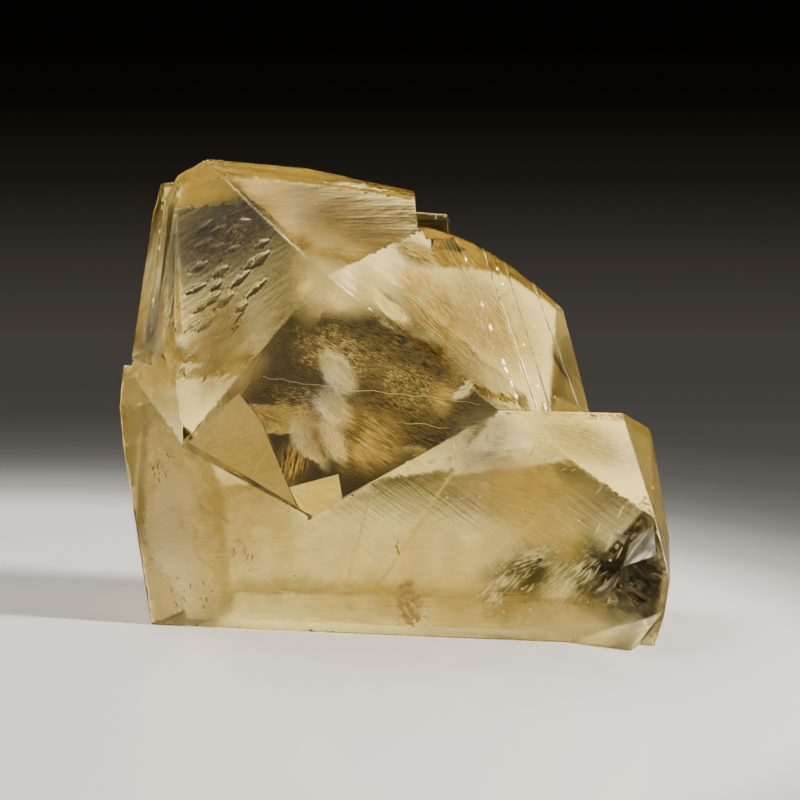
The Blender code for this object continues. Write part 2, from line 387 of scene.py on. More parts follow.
@dataclass
class CrystalShell:
    """The crystal's whole surface, meshed finely enough to carry its growth relief.

    Attributes:
        edge_step_mm: Spacing of the points along the crystal's edges.
        edge_wear_mm: How far a right-angled edge is worn back.
        edge_band_mm: Width of the worn band beside an edge.
        calm_mm: Distance from an edge over which the relief fades in.
        plane_slack_mm: How far a corner may be off its face's plane.
        match_cosine: How closely a face must look along a style's direction to take it.
        blunt_least: Bluntness under which an edge counts as part of a flat face.
        vertices: The points made so far.
        faces: The triangles made so far.
        frost: Each triangle's roughness.
        grain: The place of each triangle's corners across and along the grain.
    """

    edge_step_mm: float = 0.6
    edge_wear_mm: float = 0.09
    edge_band_mm: float = 0.16
    calm_mm: float = 0.7
    plane_slack_mm: float = 0.004
    match_cosine: float = 0.9962
    blunt_least: float = 1e-4
    vertices: list[np.ndarray] = field(default_factory=list)
    faces: list[tuple[int, int, int]] = field(default_factory=list)
    frost: list[float] = field(default_factory=list)
    grain: list[tuple[float, float]] = field(default_factory=list)

    def source(self) -> tuple[np.ndarray, np.ndarray]:
        """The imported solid's corners in millimetres and its triangles.

        Returns:
            Corner coordinates, and rows of three corner numbers.
        """
        mesh = bmesh.new()
        mesh.from_mesh(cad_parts[NODE].data)
        bmesh.ops.remove_doubles(mesh, verts=mesh.verts[:], dist=WELD)
        bmesh.ops.dissolve_degenerate(mesh, edges=mesh.edges[:], dist=WELD)
        bmesh.ops.triangulate(mesh, faces=mesh.faces[:])
        mesh.verts.index_update()
        corners = np.array([vert.co[:] for vert in mesh.verts]) / MM
        triangles = np.array([[vert.index for vert in face.verts] for face in mesh.faces])
        mesh.free()
        return corners, triangles

    def regions(self, corners: np.ndarray, triangles: np.ndarray) -> list[Region]:
        """Group triangles that lie in one plane and touch.

        Args:
            corners: Corner coordinates in millimetres.
            triangles: Rows of three corner numbers.

        Returns:
            The crystal's flat faces, with their styles.
        """
        spans = corners[triangles]
        normals = np.cross(spans[:, 1] - spans[:, 0], spans[:, 2] - spans[:, 0])
        areas = np.linalg.norm(normals, axis=1)
        normals /= np.maximum(areas, TINY)[:, None]
        neighbours = defaultdict(list)
        for row, corner_row in enumerate(triangles):
            for edge in triangle_edges(corner_row):
                neighbours[edge].append(row)
        taken = np.zeros(len(triangles), bool)
        found = []
        for seed in np.argsort(-areas):
            if taken[seed]:
                continue
            region = Region(normals[seed], spans[seed, 0])
            todo = [int(seed)]
            taken[seed] = True
            while todo:
                row = todo.pop()
                region.triangles.append(row)
                for edge in triangle_edges(triangles[row]):
                    for other in neighbours[edge]:
                        off = np.abs((spans[other] - region.origin) @ region.normal).max()
                        if not taken[other] and off < self.plane_slack_mm:
                            taken[other] = True
                            todo.append(other)
            region.style = self.style_of(region.normal)
            found.append(region)
        return found

    def style_of(self, normal: np.ndarray) -> FaceStyle:
        """The style of the named face that looks nearly along a normal."""
        style = max(FACE_STYLES.values(), key=lambda each: float(each.normal() @ normal))
        return style if style.normal() @ normal > self.match_cosine else PLAIN

    def edge_points(
        self, corners: np.ndarray, triangles: np.ndarray, regions: list[Region]
    ) -> dict[frozenset, list[int]]:
        """Sample the edges between faces, each point shared by the faces that meet there.

        Args:
            corners: Corner coordinates in millimetres.
            triangles: Rows of three corner numbers.
            regions: The crystal's flat faces.

        Returns:
            For each edge, by its two corners, the numbers of its points in order.
        """
        owner = {row: number for number, region in enumerate(regions) for row in region.triangles}
        sides = defaultdict(set)
        for row, corner_row in enumerate(triangles):
            for edge in triangle_edges(corner_row):
                sides[edge].add(owner[row])
        numbers: dict[int, int] = {}
        runs = {}
        for edge, owners in sides.items():
            if len(owners) < 2:
                continue
            first, last = sorted(edge)
            for corner in (first, last):
                if corner not in numbers:
                    numbers[corner] = self.add_vertex(corners[corner])
            length = np.linalg.norm(corners[last] - corners[first])
            steps = max(1, round(length / self.edge_step_mm))
            between = [
                self.add_vertex(corners[first] + (corners[last] - corners[first]) * step / steps)
                for step in range(1, steps)
            ]
            runs[edge] = [numbers[first], *between, numbers[last]]
        return runs

    def add_vertex(self, place: np.ndarray) -> int:
        """Keep a vertex and give its number."""
        self.vertices.append(np.array(place, float))
        return len(self.vertices) - 1

    def mesh_region(
        self, region: Region, outline: list[tuple[int, int]], wear: dict[int, list[np.ndarray]]
    ) -> None:
        """Fill one face with a grid of triangles and press its relief into it.

        Args:
            region: The face.
            outline: Its outline, as pairs of vertex numbers.
            wear: The normals of the faces that meet at each outline vertex, which this extends.
        """
        plane = np.stack(region.axes(), axis=1)
        rim = sorted({number for pair in outline for number in pair})
        place = {number: row for row, number in enumerate(rim)}
        flat_rim = (np.array([self.vertices[number] for number in rim]) - region.origin) @ plane
        edges = [(place[first], place[second]) for first, second in outline]
        starts, ends = (flat_rim[list(side)] for side in zip(*edges))
        flat = np.vstack((flat_rim, self.inner_points(region, flat_rim, starts, ends)))
        made, _, triangles, origins, _, _ = geometry.delaunay_2d_cdt(
            [Vector(row) for row in flat], edges, [], 0, CUT_SLACK, True
        )
        made = np.array([row[:] for row in made])
        triangles = np.array(triangles)
        numbers = {row: next((rim[source] for source in sources if source < len(rim)), None)
                   for row, sources in enumerate(origins)}
        inner = [row for row, number in numbers.items() if number is None]
        numbers.update(zip(inner, self.sink(region, made[inner], starts, ends)))
        for number in rim:
            wear[number].append(region.normal)
        for triangle in triangles[inside_outline(made[triangles].mean(axis=1), starts, ends)]:
            corners = [numbers[int(row)] for row in triangle]
            if len(set(corners)) < 3:
                continue
            first, second, third = made[triangle]
            (x1, y1), (x2, y2) = second - first, third - first
            if x1 * y2 < x2 * y1:
                corners.reverse()
                triangle = triangle[::-1]
            self.faces.append(tuple(corners))
            self.frost.append(region.style.frost)
            self.grain.extend(tuple(made[int(row)]) for row in triangle)

    def sink(
        self, region: Region, flat: np.ndarray, starts: np.ndarray, ends: np.ndarray
    ) -> list[int]:
        """Add points inside a face, each sunk by the face's relief.

        Args:
            region: The face.
            flat: Rows of the points' plane coordinates.
            starts: First ends of the outline's segments.
            ends: Second ends of the outline's segments.

        Returns:
            The points' numbers.
        """
        plane = np.stack(region.axes(), axis=1)
        fade = np.clip(distance_to_segments(flat, starts, ends) / self.calm_mm, 0.0, 1.0)
        seed = region.seed()
        numbers = []
        for spot, calm in zip(flat, fade):
            share = max(-1.0, min(0.0, relief_height(region.style, *spot, seed)))
            sunk = region.normal * share * float(calm) * region.style.depth_mm
            numbers.append(self.add_vertex(region.origin + plane @ spot + sunk))
        return numbers

    def inner_points(
        self, region: Region, rim: np.ndarray, starts: np.ndarray, ends: np.ndarray
    ) -> np.ndarray:
        """Points inside a face: a band beside its edges, and a grid that follows its grain.

        Args:
            region: The face.
            rim: Its outline's points in the plane.
            starts: First ends of the outline's segments.
            ends: Second ends of the outline's segments.

        Returns:
            Rows of plane coordinates.
        """
        run = ends - starts
        lengths = np.maximum(np.linalg.norm(run, axis=1), TINY)
        side = np.stack((-run[:, 1], run[:, 0]), axis=1) / lengths[:, None] * self.edge_band_mm
        middle = (starts + ends) / 2
        band = np.vstack((middle + side, middle - side))
        band = band[inside_outline(band, starts, ends)]
        band = band[distance_to_segments(band, starts, ends) > self.edge_band_mm * BAND_CLEAR]
        step = np.array(region.style.grid_mm)
        low, high = rim.min(axis=0), rim.max(axis=0)
        columns, rows = np.maximum(np.ceil((high - low) / step).astype(int), 1)
        grid_x, grid_y = np.meshgrid(np.arange(columns + 1), np.arange(rows + 1), indexing="ij")
        grid_y = grid_y + 0.5 * (grid_x % 2)
        grid = low + np.stack((grid_x.ravel(), grid_y.ravel()), axis=1) * step
        grid = grid[inside_outline(grid, starts, ends)]
        if len(grid):
            clear = self.edge_band_mm + GRID_CLEAR * step.min()
            grid = grid[distance_to_segments(grid, starts, ends) > clear]
        return np.vstack((band, grid))

    def wear_edges(self, wear: dict[int, list[np.ndarray]]) -> None:
        """Pull the convex edges in a little, as worn and slightly chipped edges are.

        Args:
            wear: The normals of the faces that meet at each edge vertex.
        """
        even, uneven, per_mm = CHIPPING
        for number, normals in wear.items():
            mean = np.mean(normals, axis=0)
            blunt = 1.0 - float(np.linalg.norm(mean))
            if blunt < self.blunt_least:
                continue
            chip = even + uneven * noise.noise(Vector(self.vertices[number]) * per_mm)
            pull = mean * self.edge_wear_mm * WEAR_GAIN * blunt * chip
            self.vertices[number] = self.vertices[number] - pull

    def outline(
        self, region: Region, triangles: np.ndarray, runs: dict[frozenset, list[int]]
    ) -> list[tuple[int, int]]:
        """The outline of a face.

        Args:
            region: The face.
            triangles: Rows of three corner numbers.
            runs: For each edge, by its two corners, the numbers of its points in order.

        Returns:
            Pairs of vertex numbers.
        """
        counts = Counter(edge for row in region.triangles for edge in triangle_edges(triangles[row]))
        rim = [edge for edge, count in counts.items() if count == 1 and edge in runs]
        return [pair for edge in rim for pair in zip(runs[edge], runs[edge][1:])]

    def paint(self, mesh: bpy.types.Mesh) -> None:
        """Give the crystal's mesh its frost, its grain and its painted spots.

        Args:
            mesh: The mesh.
        """
        mesh.attributes.new("frost", "FLOAT", "FACE").data.foreach_set("value", self.frost)
        grain = mesh.uv_layers.new(name="grain")
        grain.data.foreach_set("uv", np.array(self.grain).ravel())
        places = np.array(self.vertices)
        for tint in Tint:
            masks = [spot.mask(places) for spot in SPOTS if spot.tint is tint]
            layer = mesh.attributes.new(tint.value, "FLOAT", "POINT")
            layer.data.foreach_set("value", np.max(masks, axis=0))

    def build(self) -> bpy.types.Object:
        """Make the crystal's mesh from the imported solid.

        Returns:
            The crystal, at its place.
        """
        corners, triangles = self.source()
        regions = self.regions(corners, triangles)
        runs = self.edge_points(corners, triangles, regions)
        wear: dict[int, list[np.ndarray]] = defaultdict(list)
        for region in regions:
            outline = self.outline(region, triangles, runs)
            if len(outline) > 2:
                self.mesh_region(region, outline, wear)
        self.wear_edges(wear)
        mesh = bpy.data.meshes.new("honey_crystal")
        mesh.from_pydata([tuple(place * MM) for place in self.vertices], [], self.faces)
        self.paint(mesh)
        mesh.shade_smooth()
        LOG.info("crystal: %d faces, %d triangles", len(regions), len(mesh.polygons))
        return place_object("honey_crystal", mesh)


def place_object(name: str, mesh: bpy.types.Mesh) -> bpy.types.Object:
    """Put a mesh into the scene as an object at the origin."""
    thing = bpy.data.objects.new(name, mesh)
    bpy.context.scene.collection.objects.link(thing)
    return thing


def add_node(
    tree: bpy.types.NodeTree, kind: str, inputs: dict[str | int, object] | None = None,
    **values: object
) -> bpy.types.Node:
    """Add a node, set its own properties, and feed its inputs.

    Args:
        tree: The tree that gets the node.
        kind: The node's type.
        inputs: A value or a source socket for each input, by name or place.
        values: The node's own properties, by name.

    Returns:
        The node.
    """
    node = tree.nodes.new(kind)
    for name, value in values.items():
        setattr(node, name, value)
    feed(node, inputs or {})
    return node


def feed(node: bpy.types.Node, inputs: dict[str | int, object]) -> None:
    """Set or link a node's inputs.

    Args:
        node: The node.
        inputs: A value or a source socket for each input, by name or place.
    """
    for key, value in inputs.items():
        if isinstance(value, bpy.types.NodeSocket):
            node.id_data.links.new(value, node.inputs[key])
        else:
            node.inputs[key].default_value = value


def math_node(
    tree: bpy.types.NodeTree, operation: str, first: object, second: object
) -> bpy.types.NodeSocket:
    """Combine two numbers, each a socket or a value, and give the result's socket."""
    return add_node(tree, "ShaderNodeMath", {0: first, 1: second}, operation=operation).outputs[0]


def mapped(
    tree: bpy.types.NodeTree, value: bpy.types.NodeSocket, source: tuple[object, object],
    target: tuple[float, float] = (0.0, 1.0), easing: str = "SMOOTHSTEP"
) -> bpy.types.NodeSocket:
    """Map one range of numbers to another and keep the result in it.

    Args:
        tree: The tree that gets the node.
        value: The number.
        source: Both ends of its range, each a socket or a value.
        target: What the ends are mapped to.
        easing: How it goes from one end to the other.

    Returns:
        The result's socket.
    """
    ends = {"From Min": source[0], "From Max": source[1], "To Min": target[0], "To Max": target[1]}
    kind = "ShaderNodeMapRange"
    return add_node(tree, kind, {"Value": value, **ends}, interpolation_type=easing).outputs[0]


def mixed(
    tree: bpy.types.NodeTree, share: bpy.types.NodeSocket, first: object, second: object
) -> bpy.types.NodeSocket:
    """Mix two colours.

    Args:
        tree: The tree that gets the node.
        share: Share of the second colour.
        first: A colour or its socket.
        second: A colour or its socket.

    Returns:
        The result's socket.
    """
    pair = [each if isinstance(each, bpy.types.NodeSocket) else (*each, 1.0)
            for each in (first, second)]
    inputs = {"Factor": share, "A": pair[0], "B": pair[1]}
    return add_node(tree, "ShaderNodeMix", inputs, data_type="RGBA").outputs["Result"]


def graded(
    tree: bpy.types.NodeTree, share: bpy.types.NodeSocket, stops: tuple[tuple[float, Colour], ...]
) -> bpy.types.NodeSocket:
    """Turn a number into a colour by a ramp.

    Args:
        tree: The tree that gets the node.
        share: The number.
        stops: Places on the ramp with their colours.

    Returns:
        The colour's socket.
    """
    ramp = add_node(tree, "ShaderNodeValToRGB", {"Fac": share})
    for place, _ in stops[1:-1]:
        ramp.color_ramp.elements.new(place)
    for element, (place, colour) in zip(ramp.color_ramp.elements, stops):
        element.position = place
        element.color = (*colour, 1.0)
    return ramp.outputs["Color"]


def start_group(
    name: str, kind: str, inputs: dict[str, float | str], outputs: dict[str, str]
) -> tuple[bpy.types.NodeTree, bpy.types.NodeOutputs]:
    """Start a node group with named sockets.

    Args:
        name: The group's name.
        kind: The type of its tree.
        inputs: For each input, a number's value or the kind of another socket.
        outputs: For each output, the kind of its socket.

    Returns:
        The group's tree, and the sockets that carry what it is given.
    """
    tree = bpy.data.node_groups.new(name, kind)
    for label, value in inputs.items():
        sort = value if isinstance(value, str) else "Float"
        made = tree.interface.new_socket(label, in_out="INPUT", socket_type="NodeSocket" + sort)
        if sort == "Float":
            made.default_value = value
    for label, sort in outputs.items():
        tree.interface.new_socket(label, in_out="OUTPUT", socket_type="NodeSocket" + sort)
    return tree, add_node(tree, "NodeGroupInput").outputs


def start_material(
    name: str, inputs: dict[str | int, object]
) -> tuple[bpy.types.Material, bpy.types.NodeTree, bpy.types.Node]:
    """Start a material.

    Args:
        name: Its name.
        inputs: A value for each input of its shader that is the same all over.

    Returns:
        The material, its tree and its shader.
    """
    material = bpy.data.materials.new(name)
    material.use_nodes = True
    shader = material.node_tree.nodes["Principled BSDF"]
    feed(shader, inputs)
    return material, material.node_tree, shader


@cache
def streak_group() -> bpy.types.NodeTree:
    """Noise drawn out along a face's grain, as fine growth lines.

    Returns:
        A group with inputs Grain, Across and Along, and outputs Streaks and Grit.
    """
    tree, given = start_group(
        "Growth Streaks", "ShaderNodeTree",
        {"Grain": "Vector", "Across": 1.6, "Along": 0.12}, {"Streaks": "Float", "Grit": "Float"})
    stretch = add_node(tree, "ShaderNodeCombineXYZ", {"X": given["Across"], "Y": given["Along"]})
    drawn = add_node(tree, "ShaderNodeVectorMath",
                     {0: given["Grain"], 1: stretch.outputs[0]}, operation="MULTIPLY")
    lines = add_node(tree, "ShaderNodeTexNoise", {
        "Vector": drawn.outputs[0], "Scale": 1.0, "Detail": 2.0, "Roughness": 0.65})
    grit = add_node(tree, "ShaderNodeTexNoise", {
        "Vector": given["Grain"], "Scale": 2.2, "Detail": 2.0})
    add_node(tree, "NodeGroupOutput", {"Streaks": lines.outputs["Fac"], "Grit": grit.outputs["Fac"]})
    return tree


@cache
def veil_group() -> bpy.types.NodeTree:
    """Cloudy and hair-fine mask of a veil inside the crystal, which fades out towards its rim.

    Returns:
        A group with inputs Sheet, Lie, Cloud, Hair, Cover, Softness and Strand, and outputs Mask
        and Fine.
    """
    tree, given = start_group(
        "Veil Mask", "ShaderNodeTree",
        {"Sheet": "Vector", "Lie": "Vector", "Cloud": 0.2, "Hair": 0.3, "Cover": 0.5,
         "Softness": 0.3, "Strand": 1.0}, {"Mask": "Float", "Fine": "Float"})
    cloud = add_node(tree, "ShaderNodeTexNoise", {
        "Vector": given["Lie"], "Scale": given["Cloud"], "Detail": 2.0, "Roughness": 0.6})
    drawn = add_node(tree, "ShaderNodeVectorMath",
                     {0: given["Lie"], 1: HAIR_STRETCH}, operation="MULTIPLY")
    hair = add_node(tree, "ShaderNodeTexNoise", {
        "Vector": drawn.outputs[0], "Scale": given["Strand"], "Detail": 2.0, "Roughness": 0.7})
    blend = add_node(tree, "ShaderNodeMix", {
        "Factor": given["Hair"], "A": cloud.outputs["Fac"], "B": hair.outputs["Fac"]},
        data_type="FLOAT")
    away = add_node(tree, "ShaderNodeVectorMath", {0: given["Sheet"]}, operation="LENGTH")
    rim = mapped(tree, away.outputs["Value"], VEIL_RIM, (1.0, 0.0), "SMOOTHERSTEP")
    bare, lowered, raised = VEIL_LEVEL
    middle = math_node(tree, "SUBTRACT", bare, math_node(tree, "MULTIPLY", given["Cover"], lowered))
    drop = math_node(tree, "MULTIPLY", math_node(tree, "SUBTRACT", 1.0, rim), raised)
    level = math_node(tree, "ADD", middle, drop)
    half = math_node(tree, "MULTIPLY", given["Softness"], 0.5)
    ends = math_node(tree, "SUBTRACT", level, half), math_node(tree, "ADD", level, half)
    clouds = mapped(tree, blend.outputs["Result"], ends)
    add_node(tree, "NodeGroupOutput", {
        "Mask": math_node(tree, "MULTIPLY", clouds, rim),
        "Fine": mapped(tree, hair.outputs["Fac"], HAIR_CONTRAST)})
    return tree


@dataclass(frozen=True)
class ClearCalcite:
    """Clear honey calcite.

    Attributes:
        ior: Mean refractive index of calcite.
        honey: Colour that the body lets through.
        density: How strongly it takes the rest, for each metre.
        skin: Tint of a clean face.
        stain: Tint of an iron-stained face.
        pale: Paler tint painted in spots, which paints brighter glow on the faces and whiter glints in
            the window.
        sheen: Tint of what a face mirrors.
        haze: Roughness that a milky spot adds.
        grit: Least share of a face's frost, and how much more fine grit gives it.
        stain_gain: How far the growth lines break up a stain.
        line_depth: Depth of the finest growth lines, in metres.
    """

    ior: float = 1.6
    honey: tuple[float, float, float, float] = (0.92, 0.77, 0.25, 1.0)
    density: float = 4.0
    skin: Colour = (0.985, 0.81, 0.29)
    stain: Colour = (0.93, 0.56, 0.14)
    pale: Colour = (0.95, 0.90, 0.76)
    sheen: Colour = (0.36, 0.31, 0.20)
    haze: float = 0.45
    grit: tuple[float, float] = (0.55, 0.9)
    stain_gain: float = 1.7
    line_depth: float = 0.00012

    def material(self) -> bpy.types.Material:
        """Build the material.

        Returns:
            A see-through material with plain transmission, index and absorption.
        """
        material, tree, shader = start_material("clear_honey_calcite", {
            "Transmission Weight": 1.0, "IOR": self.ior, "Specular Tint": (*self.sheen, 1.0)})
        grain = add_node(tree, "ShaderNodeUVMap", uv_map="grain").outputs["UV"]
        growth = add_node(tree, "ShaderNodeGroup", {"Grain": grain}, node_tree=streak_group())
        streaks = growth.outputs["Streaks"]
        marks = {name: add_node(tree, "ShaderNodeAttribute", attribute_name=name).outputs["Fac"]
                 for name in ("frost", *(tint.value for tint in Tint))}
        patchy = math_node(tree, "MULTIPLY", streaks, self.stain_gain)
        stained = math_node(tree, "MULTIPLY", marks["stain"], patchy)
        colour = mixed(tree, stained, self.skin, self.stain)
        # Painted light: the pale spots mix the face's tint towards white
        colour = mixed(tree, marks["pale"], colour, self.pale)
        worn, uneven = self.grit
        grit = math_node(tree, "MULTIPLY", growth.outputs["Grit"], uneven)
        frost = math_node(tree, "MULTIPLY", marks["frost"], math_node(tree, "ADD", worn, grit))
        hazed = math_node(tree, "MULTIPLY", marks["milk"], self.haze)
        bump = add_node(tree, "ShaderNodeBump", {
            "Strength": 0.22, "Distance": self.line_depth, "Height": streaks})
        feed(shader, {"Base Color": colour, "Roughness": math_node(tree, "ADD", frost, hazed),
                      "Normal": bump.outputs[0]})
        body = add_node(tree, "ShaderNodeVolumeAbsorption", {
            "Color": self.honey, "Density": self.density})
        feed(tree.nodes["Material Output"], {"Volume": body.outputs["Volume"]})
        return material


@dataclass(frozen=True)
class VeilFinish:
    """A cloud, film, stain, painted shade or painted light that lies on a sheet inside the crystal.

    Attributes:
        name: The finish's name.
        dull: Its darker colour.
        bright: Its lighter colour.
        opacity: How much it hides where it is thick.
        cloud: How fine its clouds are, for each millimetre.
        hair: How far hair-fine lines along the sheet take the place of clouds.
        cover: Share of the sheet that it covers.
        softness: How softly its clouds end.
        roughness: Roughness of its surface.
        metallic: How far it mirrors, as a crack with air in it does.
        strand: How fine its lines are.
    """

    name: str
    dull: Colour
    bright: Colour
    opacity: float = 0.5
    cloud: float = 0.2
    hair: float = 0.2
    cover: float = 0.55
    softness: float = 0.3
    roughness: float = 0.6
    metallic: float = 0.0
    strand: float = 1.0

    def material(self) -> bpy.types.Material:
        """Build the material.

        Returns:
            A material whose opacity follows its clouds.
        """
        material, tree, shader = start_material(self.name, {
            "Roughness": self.roughness, "Metallic": self.metallic, "Specular IOR Level": 0.0})
        sheet, lie = (add_node(tree, "ShaderNodeUVMap", uv_map=name).outputs["UV"]
                      for name in ("sheet", "lie"))
        veil = add_node(tree, "ShaderNodeGroup", {
            "Sheet": sheet, "Lie": lie, "Cloud": self.cloud, "Hair": self.hair,
            "Cover": self.cover, "Softness": self.softness, "Strand": self.strand},
            node_tree=veil_group())
        feed(shader, {
            "Base Color": mixed(tree, veil.outputs["Fine"], self.dull, self.bright),
            "Alpha": math_node(tree, "MULTIPLY", veil.outputs["Mask"], self.opacity)})
        return material


MILKY_VEIL = VeilFinish("milky_veil", (0.90, 0.82, 0.62), (0.99, 0.96, 0.88), 0.9, 0.16, 0.1, 0.88, 0.4)
HONEY_CLOUD = VeilFinish("honey_cloud", (0.88, 0.70, 0.32), (1.0, 0.92, 0.63), 0.66, 0.16, 0.15,
                         0.78, 0.45)
AMBER_CLOUD = VeilFinish("amber_cloud", (0.74, 0.57, 0.24), (0.92, 0.76, 0.40), 0.7, 0.16, 0.12,
                         0.8, 0.5)
ROSE_CLOUD = VeilFinish("rose_cloud", (0.46, 0.32, 0.13), (0.94, 0.78, 0.40), 0.8, 0.2, 0.3,
                        0.7, 0.4)
# Painted shade with hair-fine veil lines: near-black where the window shows the dark surround through
# the crystal
OLIVE_HAIR_AND_PAINTED_SHADE = VeilFinish("olive_hair_and_painted_shade", (0.014, 0.011, 0.005), (0.20, 0.16, 0.07), 1.0, 0.14, 0.4,
                         1.0, 0.5, strand=1.9)
# Painted shade: dark grey-blue sheets behind the upper etched face and the left strip
PAINTED_SHADE_CLOUD = VeilFinish("painted_shade_cloud", (0.10, 0.10, 0.13), (0.17, 0.17, 0.22), 0.82, 0.12, 0.1,
                         1.0, 0.4)
DARK_STREAK = VeilFinish("dark_streak", (0.022, 0.015, 0.005), (0.72, 0.54, 0.24), 1.0, 0.3, 0.75,
                         0.74, 0.2)
GOLD_FILM = VeilFinish("gold_film", (0.99, 0.88, 0.60), (1.0, 1.0, 0.97), 1.0, 0.4, 0.7,
                       0.72, 0.34, 0.33, 1.0, 1.6)
GOLD_HAIR = VeilFinish("gold_hair", (0.12, 0.09, 0.04), (0.9, 0.78, 0.46), 0.8, 0.6, 0.7,
                       0.42, 0.2, 0.4, 0.3, 3.4)
# Near-black sheets: painted shade in the lower right window and behind the upper left sliver, and two
# dark marks on the flank
DARK_MARK_AND_PAINTED_SHADE = VeilFinish("dark_mark_and_painted_shade", (0.05, 0.045, 0.035), (0.008, 0.007, 0.006), 0.95, 0.3, 0.4,
                        0.85, 0.4, 0.7)
GREY_HAZE = VeilFinish("grey_haze", (0.22, 0.20, 0.17), (0.62, 0.58, 0.52), 0.7, 0.2, 0.25, 0.8, 0.4)
SILVER_FACE = VeilFinish("silver_face", (0.46, 0.47, 0.52), (0.95, 0.97, 1.0), 1.0, 0.5, 0.5,
                         1.0, 0.5, 0.25, 0.7)
BROWN_FACE = VeilFinish("brown_face", (0.47, 0.39, 0.22), (0.60, 0.51, 0.30), 0.85, 0.3, 0.3,
                        1.0, 0.5, 0.5, strand=2.0)
# Painted light: pale faces where the window's tip shows bright light through the back faces
PAINTED_LIGHT_FACE = VeilFinish("painted_light_face", (0.90, 0.76, 0.38), (1.0, 0.97, 0.74), 0.85, 0.2, 0.2, 1.0, 0.5, 0.5)
FLANK_STREAK = VeilFinish("flank_streak", (0.11, 0.08, 0.035), (0.78, 0.65, 0.38), 0.85, 0.2, 0.8,
                          0.8, 0.35, strand=1.2)
# Pale wisps, and one pale sheet that paints the bluish-white glint in the window
PEARL_WISP_AND_PAINTED_GLINT = VeilFinish("pearl_wisp_and_painted_glint", (0.74, 0.74, 0.78), (0.96, 0.97, 1.0), 1.0, 0.4, 0.55,
                        0.50, 0.16, 0.4, strand=1.3)


@dataclass(frozen=True)
class Sheet:
    """A gently curved sheet inside the crystal.

    Attributes:
        centre: Its middle.
        facing_deg: Bearing that it looks along.
        tilt_deg: How far it looks up.
        size: Half its width and half its height.
        turn_deg: Turn of its width, anticlockwise from level.
        bulge_mm: How far its middle stands out and its surface ripples.
    """

    centre: Place
    facing_deg: float
    tilt_deg: float
    size: tuple[float, float]
    turn_deg: float = 0.0
    bulge_mm: float = 0.6


def film(
    name: str, places: list[np.ndarray], faces: list[tuple[int, ...]],
    maps: dict[str, list[tuple[float, float]]], finish: VeilFinish
) -> bpy.types.Object:
    """Make a thin film from points and faces, without the points that no face uses.

    Args:
        name: The piece's name.
        places: Its points in millimetres.
        faces: Its faces, as numbers of points.
        maps: For each UV map, the place of each point on it.
        finish: What it is dressed with.

    Returns:
        The piece.
    """
    mesh = bpy.data.meshes.new(name)
    mesh.from_pydata([tuple(place * MM) for place in places], [], faces)
    numbers = np.empty(len(mesh.loops), int)
    mesh.loops.foreach_get("vertex_index", numbers)
    for label, values in maps.items():
        layer = mesh.uv_layers.new(name=label)
        layer.data.foreach_set("uv", np.array(values)[numbers].ravel())
    work = bmesh.new()
    work.from_mesh(mesh)
    loose = [vert for vert in work.verts if not vert.link_faces]
    bmesh.ops.delete(work, geom=loose, context="VERTS")
    work.to_mesh(mesh)
    work.free()
    mesh.shade_smooth()
    mesh.materials.append(finish.material())
    LOG.info("%s: %d faces", name, len(mesh.polygons))
    return place_object(name, mesh)


@dataclass
class VeilSet:
    """Sheets of one finish inside the crystal, kept clear of its surface.

    Attributes:
        name: The piece's name.
        finish: What the sheets are dressed with.
        sheets: The sheets.
        step_mm: Spacing of their mesh.
        clearance_mm: How far they stay under the surface.
        fade_mm: Depth over which they fade in below that.
    """

    name: str
    finish: VeilFinish
    sheets: tuple[Sheet, ...]
    step_mm: float = 0.7
    clearance_mm: float = 0.25
    fade_mm: float = 0.8

    def points(self, sheet: Sheet) -> tuple[np.ndarray, np.ndarray, np.ndarray, int]:
        """The points of one sheet.

        Args:
            sheet: The sheet.

        Returns:
            Coordinates, places on the sheet from -1 to 1 and in millimetres, and points in a row.
        """
        half_width, half_height = sheet.size
        columns = max(2, round(2 * half_width / self.step_mm)) + 1
        rows = max(2, round(2 * half_height / self.step_mm)) + 1
        u, v = np.meshgrid(np.linspace(-1, 1, columns), np.linspace(-1, 1, rows))
        u, v = u.ravel(), v.ravel()
        normal = looking(sheet.facing_deg, sheet.tilt_deg)
        level = np.cross((0.0, 0.0, 1.0), normal)
        level /= np.linalg.norm(level)
        upward = np.cross(normal, level)
        turn = math.radians(sheet.turn_deg)
        wide = level * math.cos(turn) + upward * math.sin(turn)
        high = upward * math.cos(turn) - level * math.sin(turn)
        flat = np.outer(u * half_width, wide) + np.outer(v * half_height, high)
        ripple = np.array([noise.noise(Vector(row) * RIPPLE_PER_MM + Vector(sheet.centre))
                           for row in flat])
        swell = sheet.bulge_mm * (1.0 - (u * u + v * v) * 0.5 + ripple)
        places = np.array(sheet.centre) + flat + np.outer(swell, normal)
        apart = PATTERN_SHIFT * (sheet.centre[0] + sheet.centre[2])
        lie = np.stack((u * half_width + apart, v * half_height - apart), axis=1)
        return places, np.stack((u, v), axis=1), lie, columns

    def build(self, inside: "InsideTest") -> bpy.types.Object:
        """Make the sheets as one piece.

        Args:
            inside: Tells which points lie in the crystal.

        Returns:
            The piece.
        """
        places, spans, lies, faces = [], [], [], []
        for sheet in self.sheets:
            points, span, lie, columns = self.points(sheet)
            depths = np.array([inside.depth_mm(point) for point in points]) - self.clearance_mm
            reach = np.maximum(np.hypot(*span.T), TINY)
            held = (depths > 0.0) & (reach < VEIL_REACH)
            faded = np.maximum(reach, 1.0 - np.clip(depths / self.fade_mm, 0.0, 1.0))
            span = span * (faded / reach)[:, None]
            start = len(places)
            for row in range(len(points) // columns - 1):
                for column in range(columns - 1):
                    corner = row * columns + column
                    quad = (corner, corner + 1, corner + columns + 1, corner + columns)
                    if held[list(quad)].all():
                        faces.append(tuple(start + index for index in quad))
            places.extend(points)
            spans.extend(span)
            lies.extend(lie)
        return film(self.name, places, faces, {"sheet": spans, "lie": lies}, self.finish)


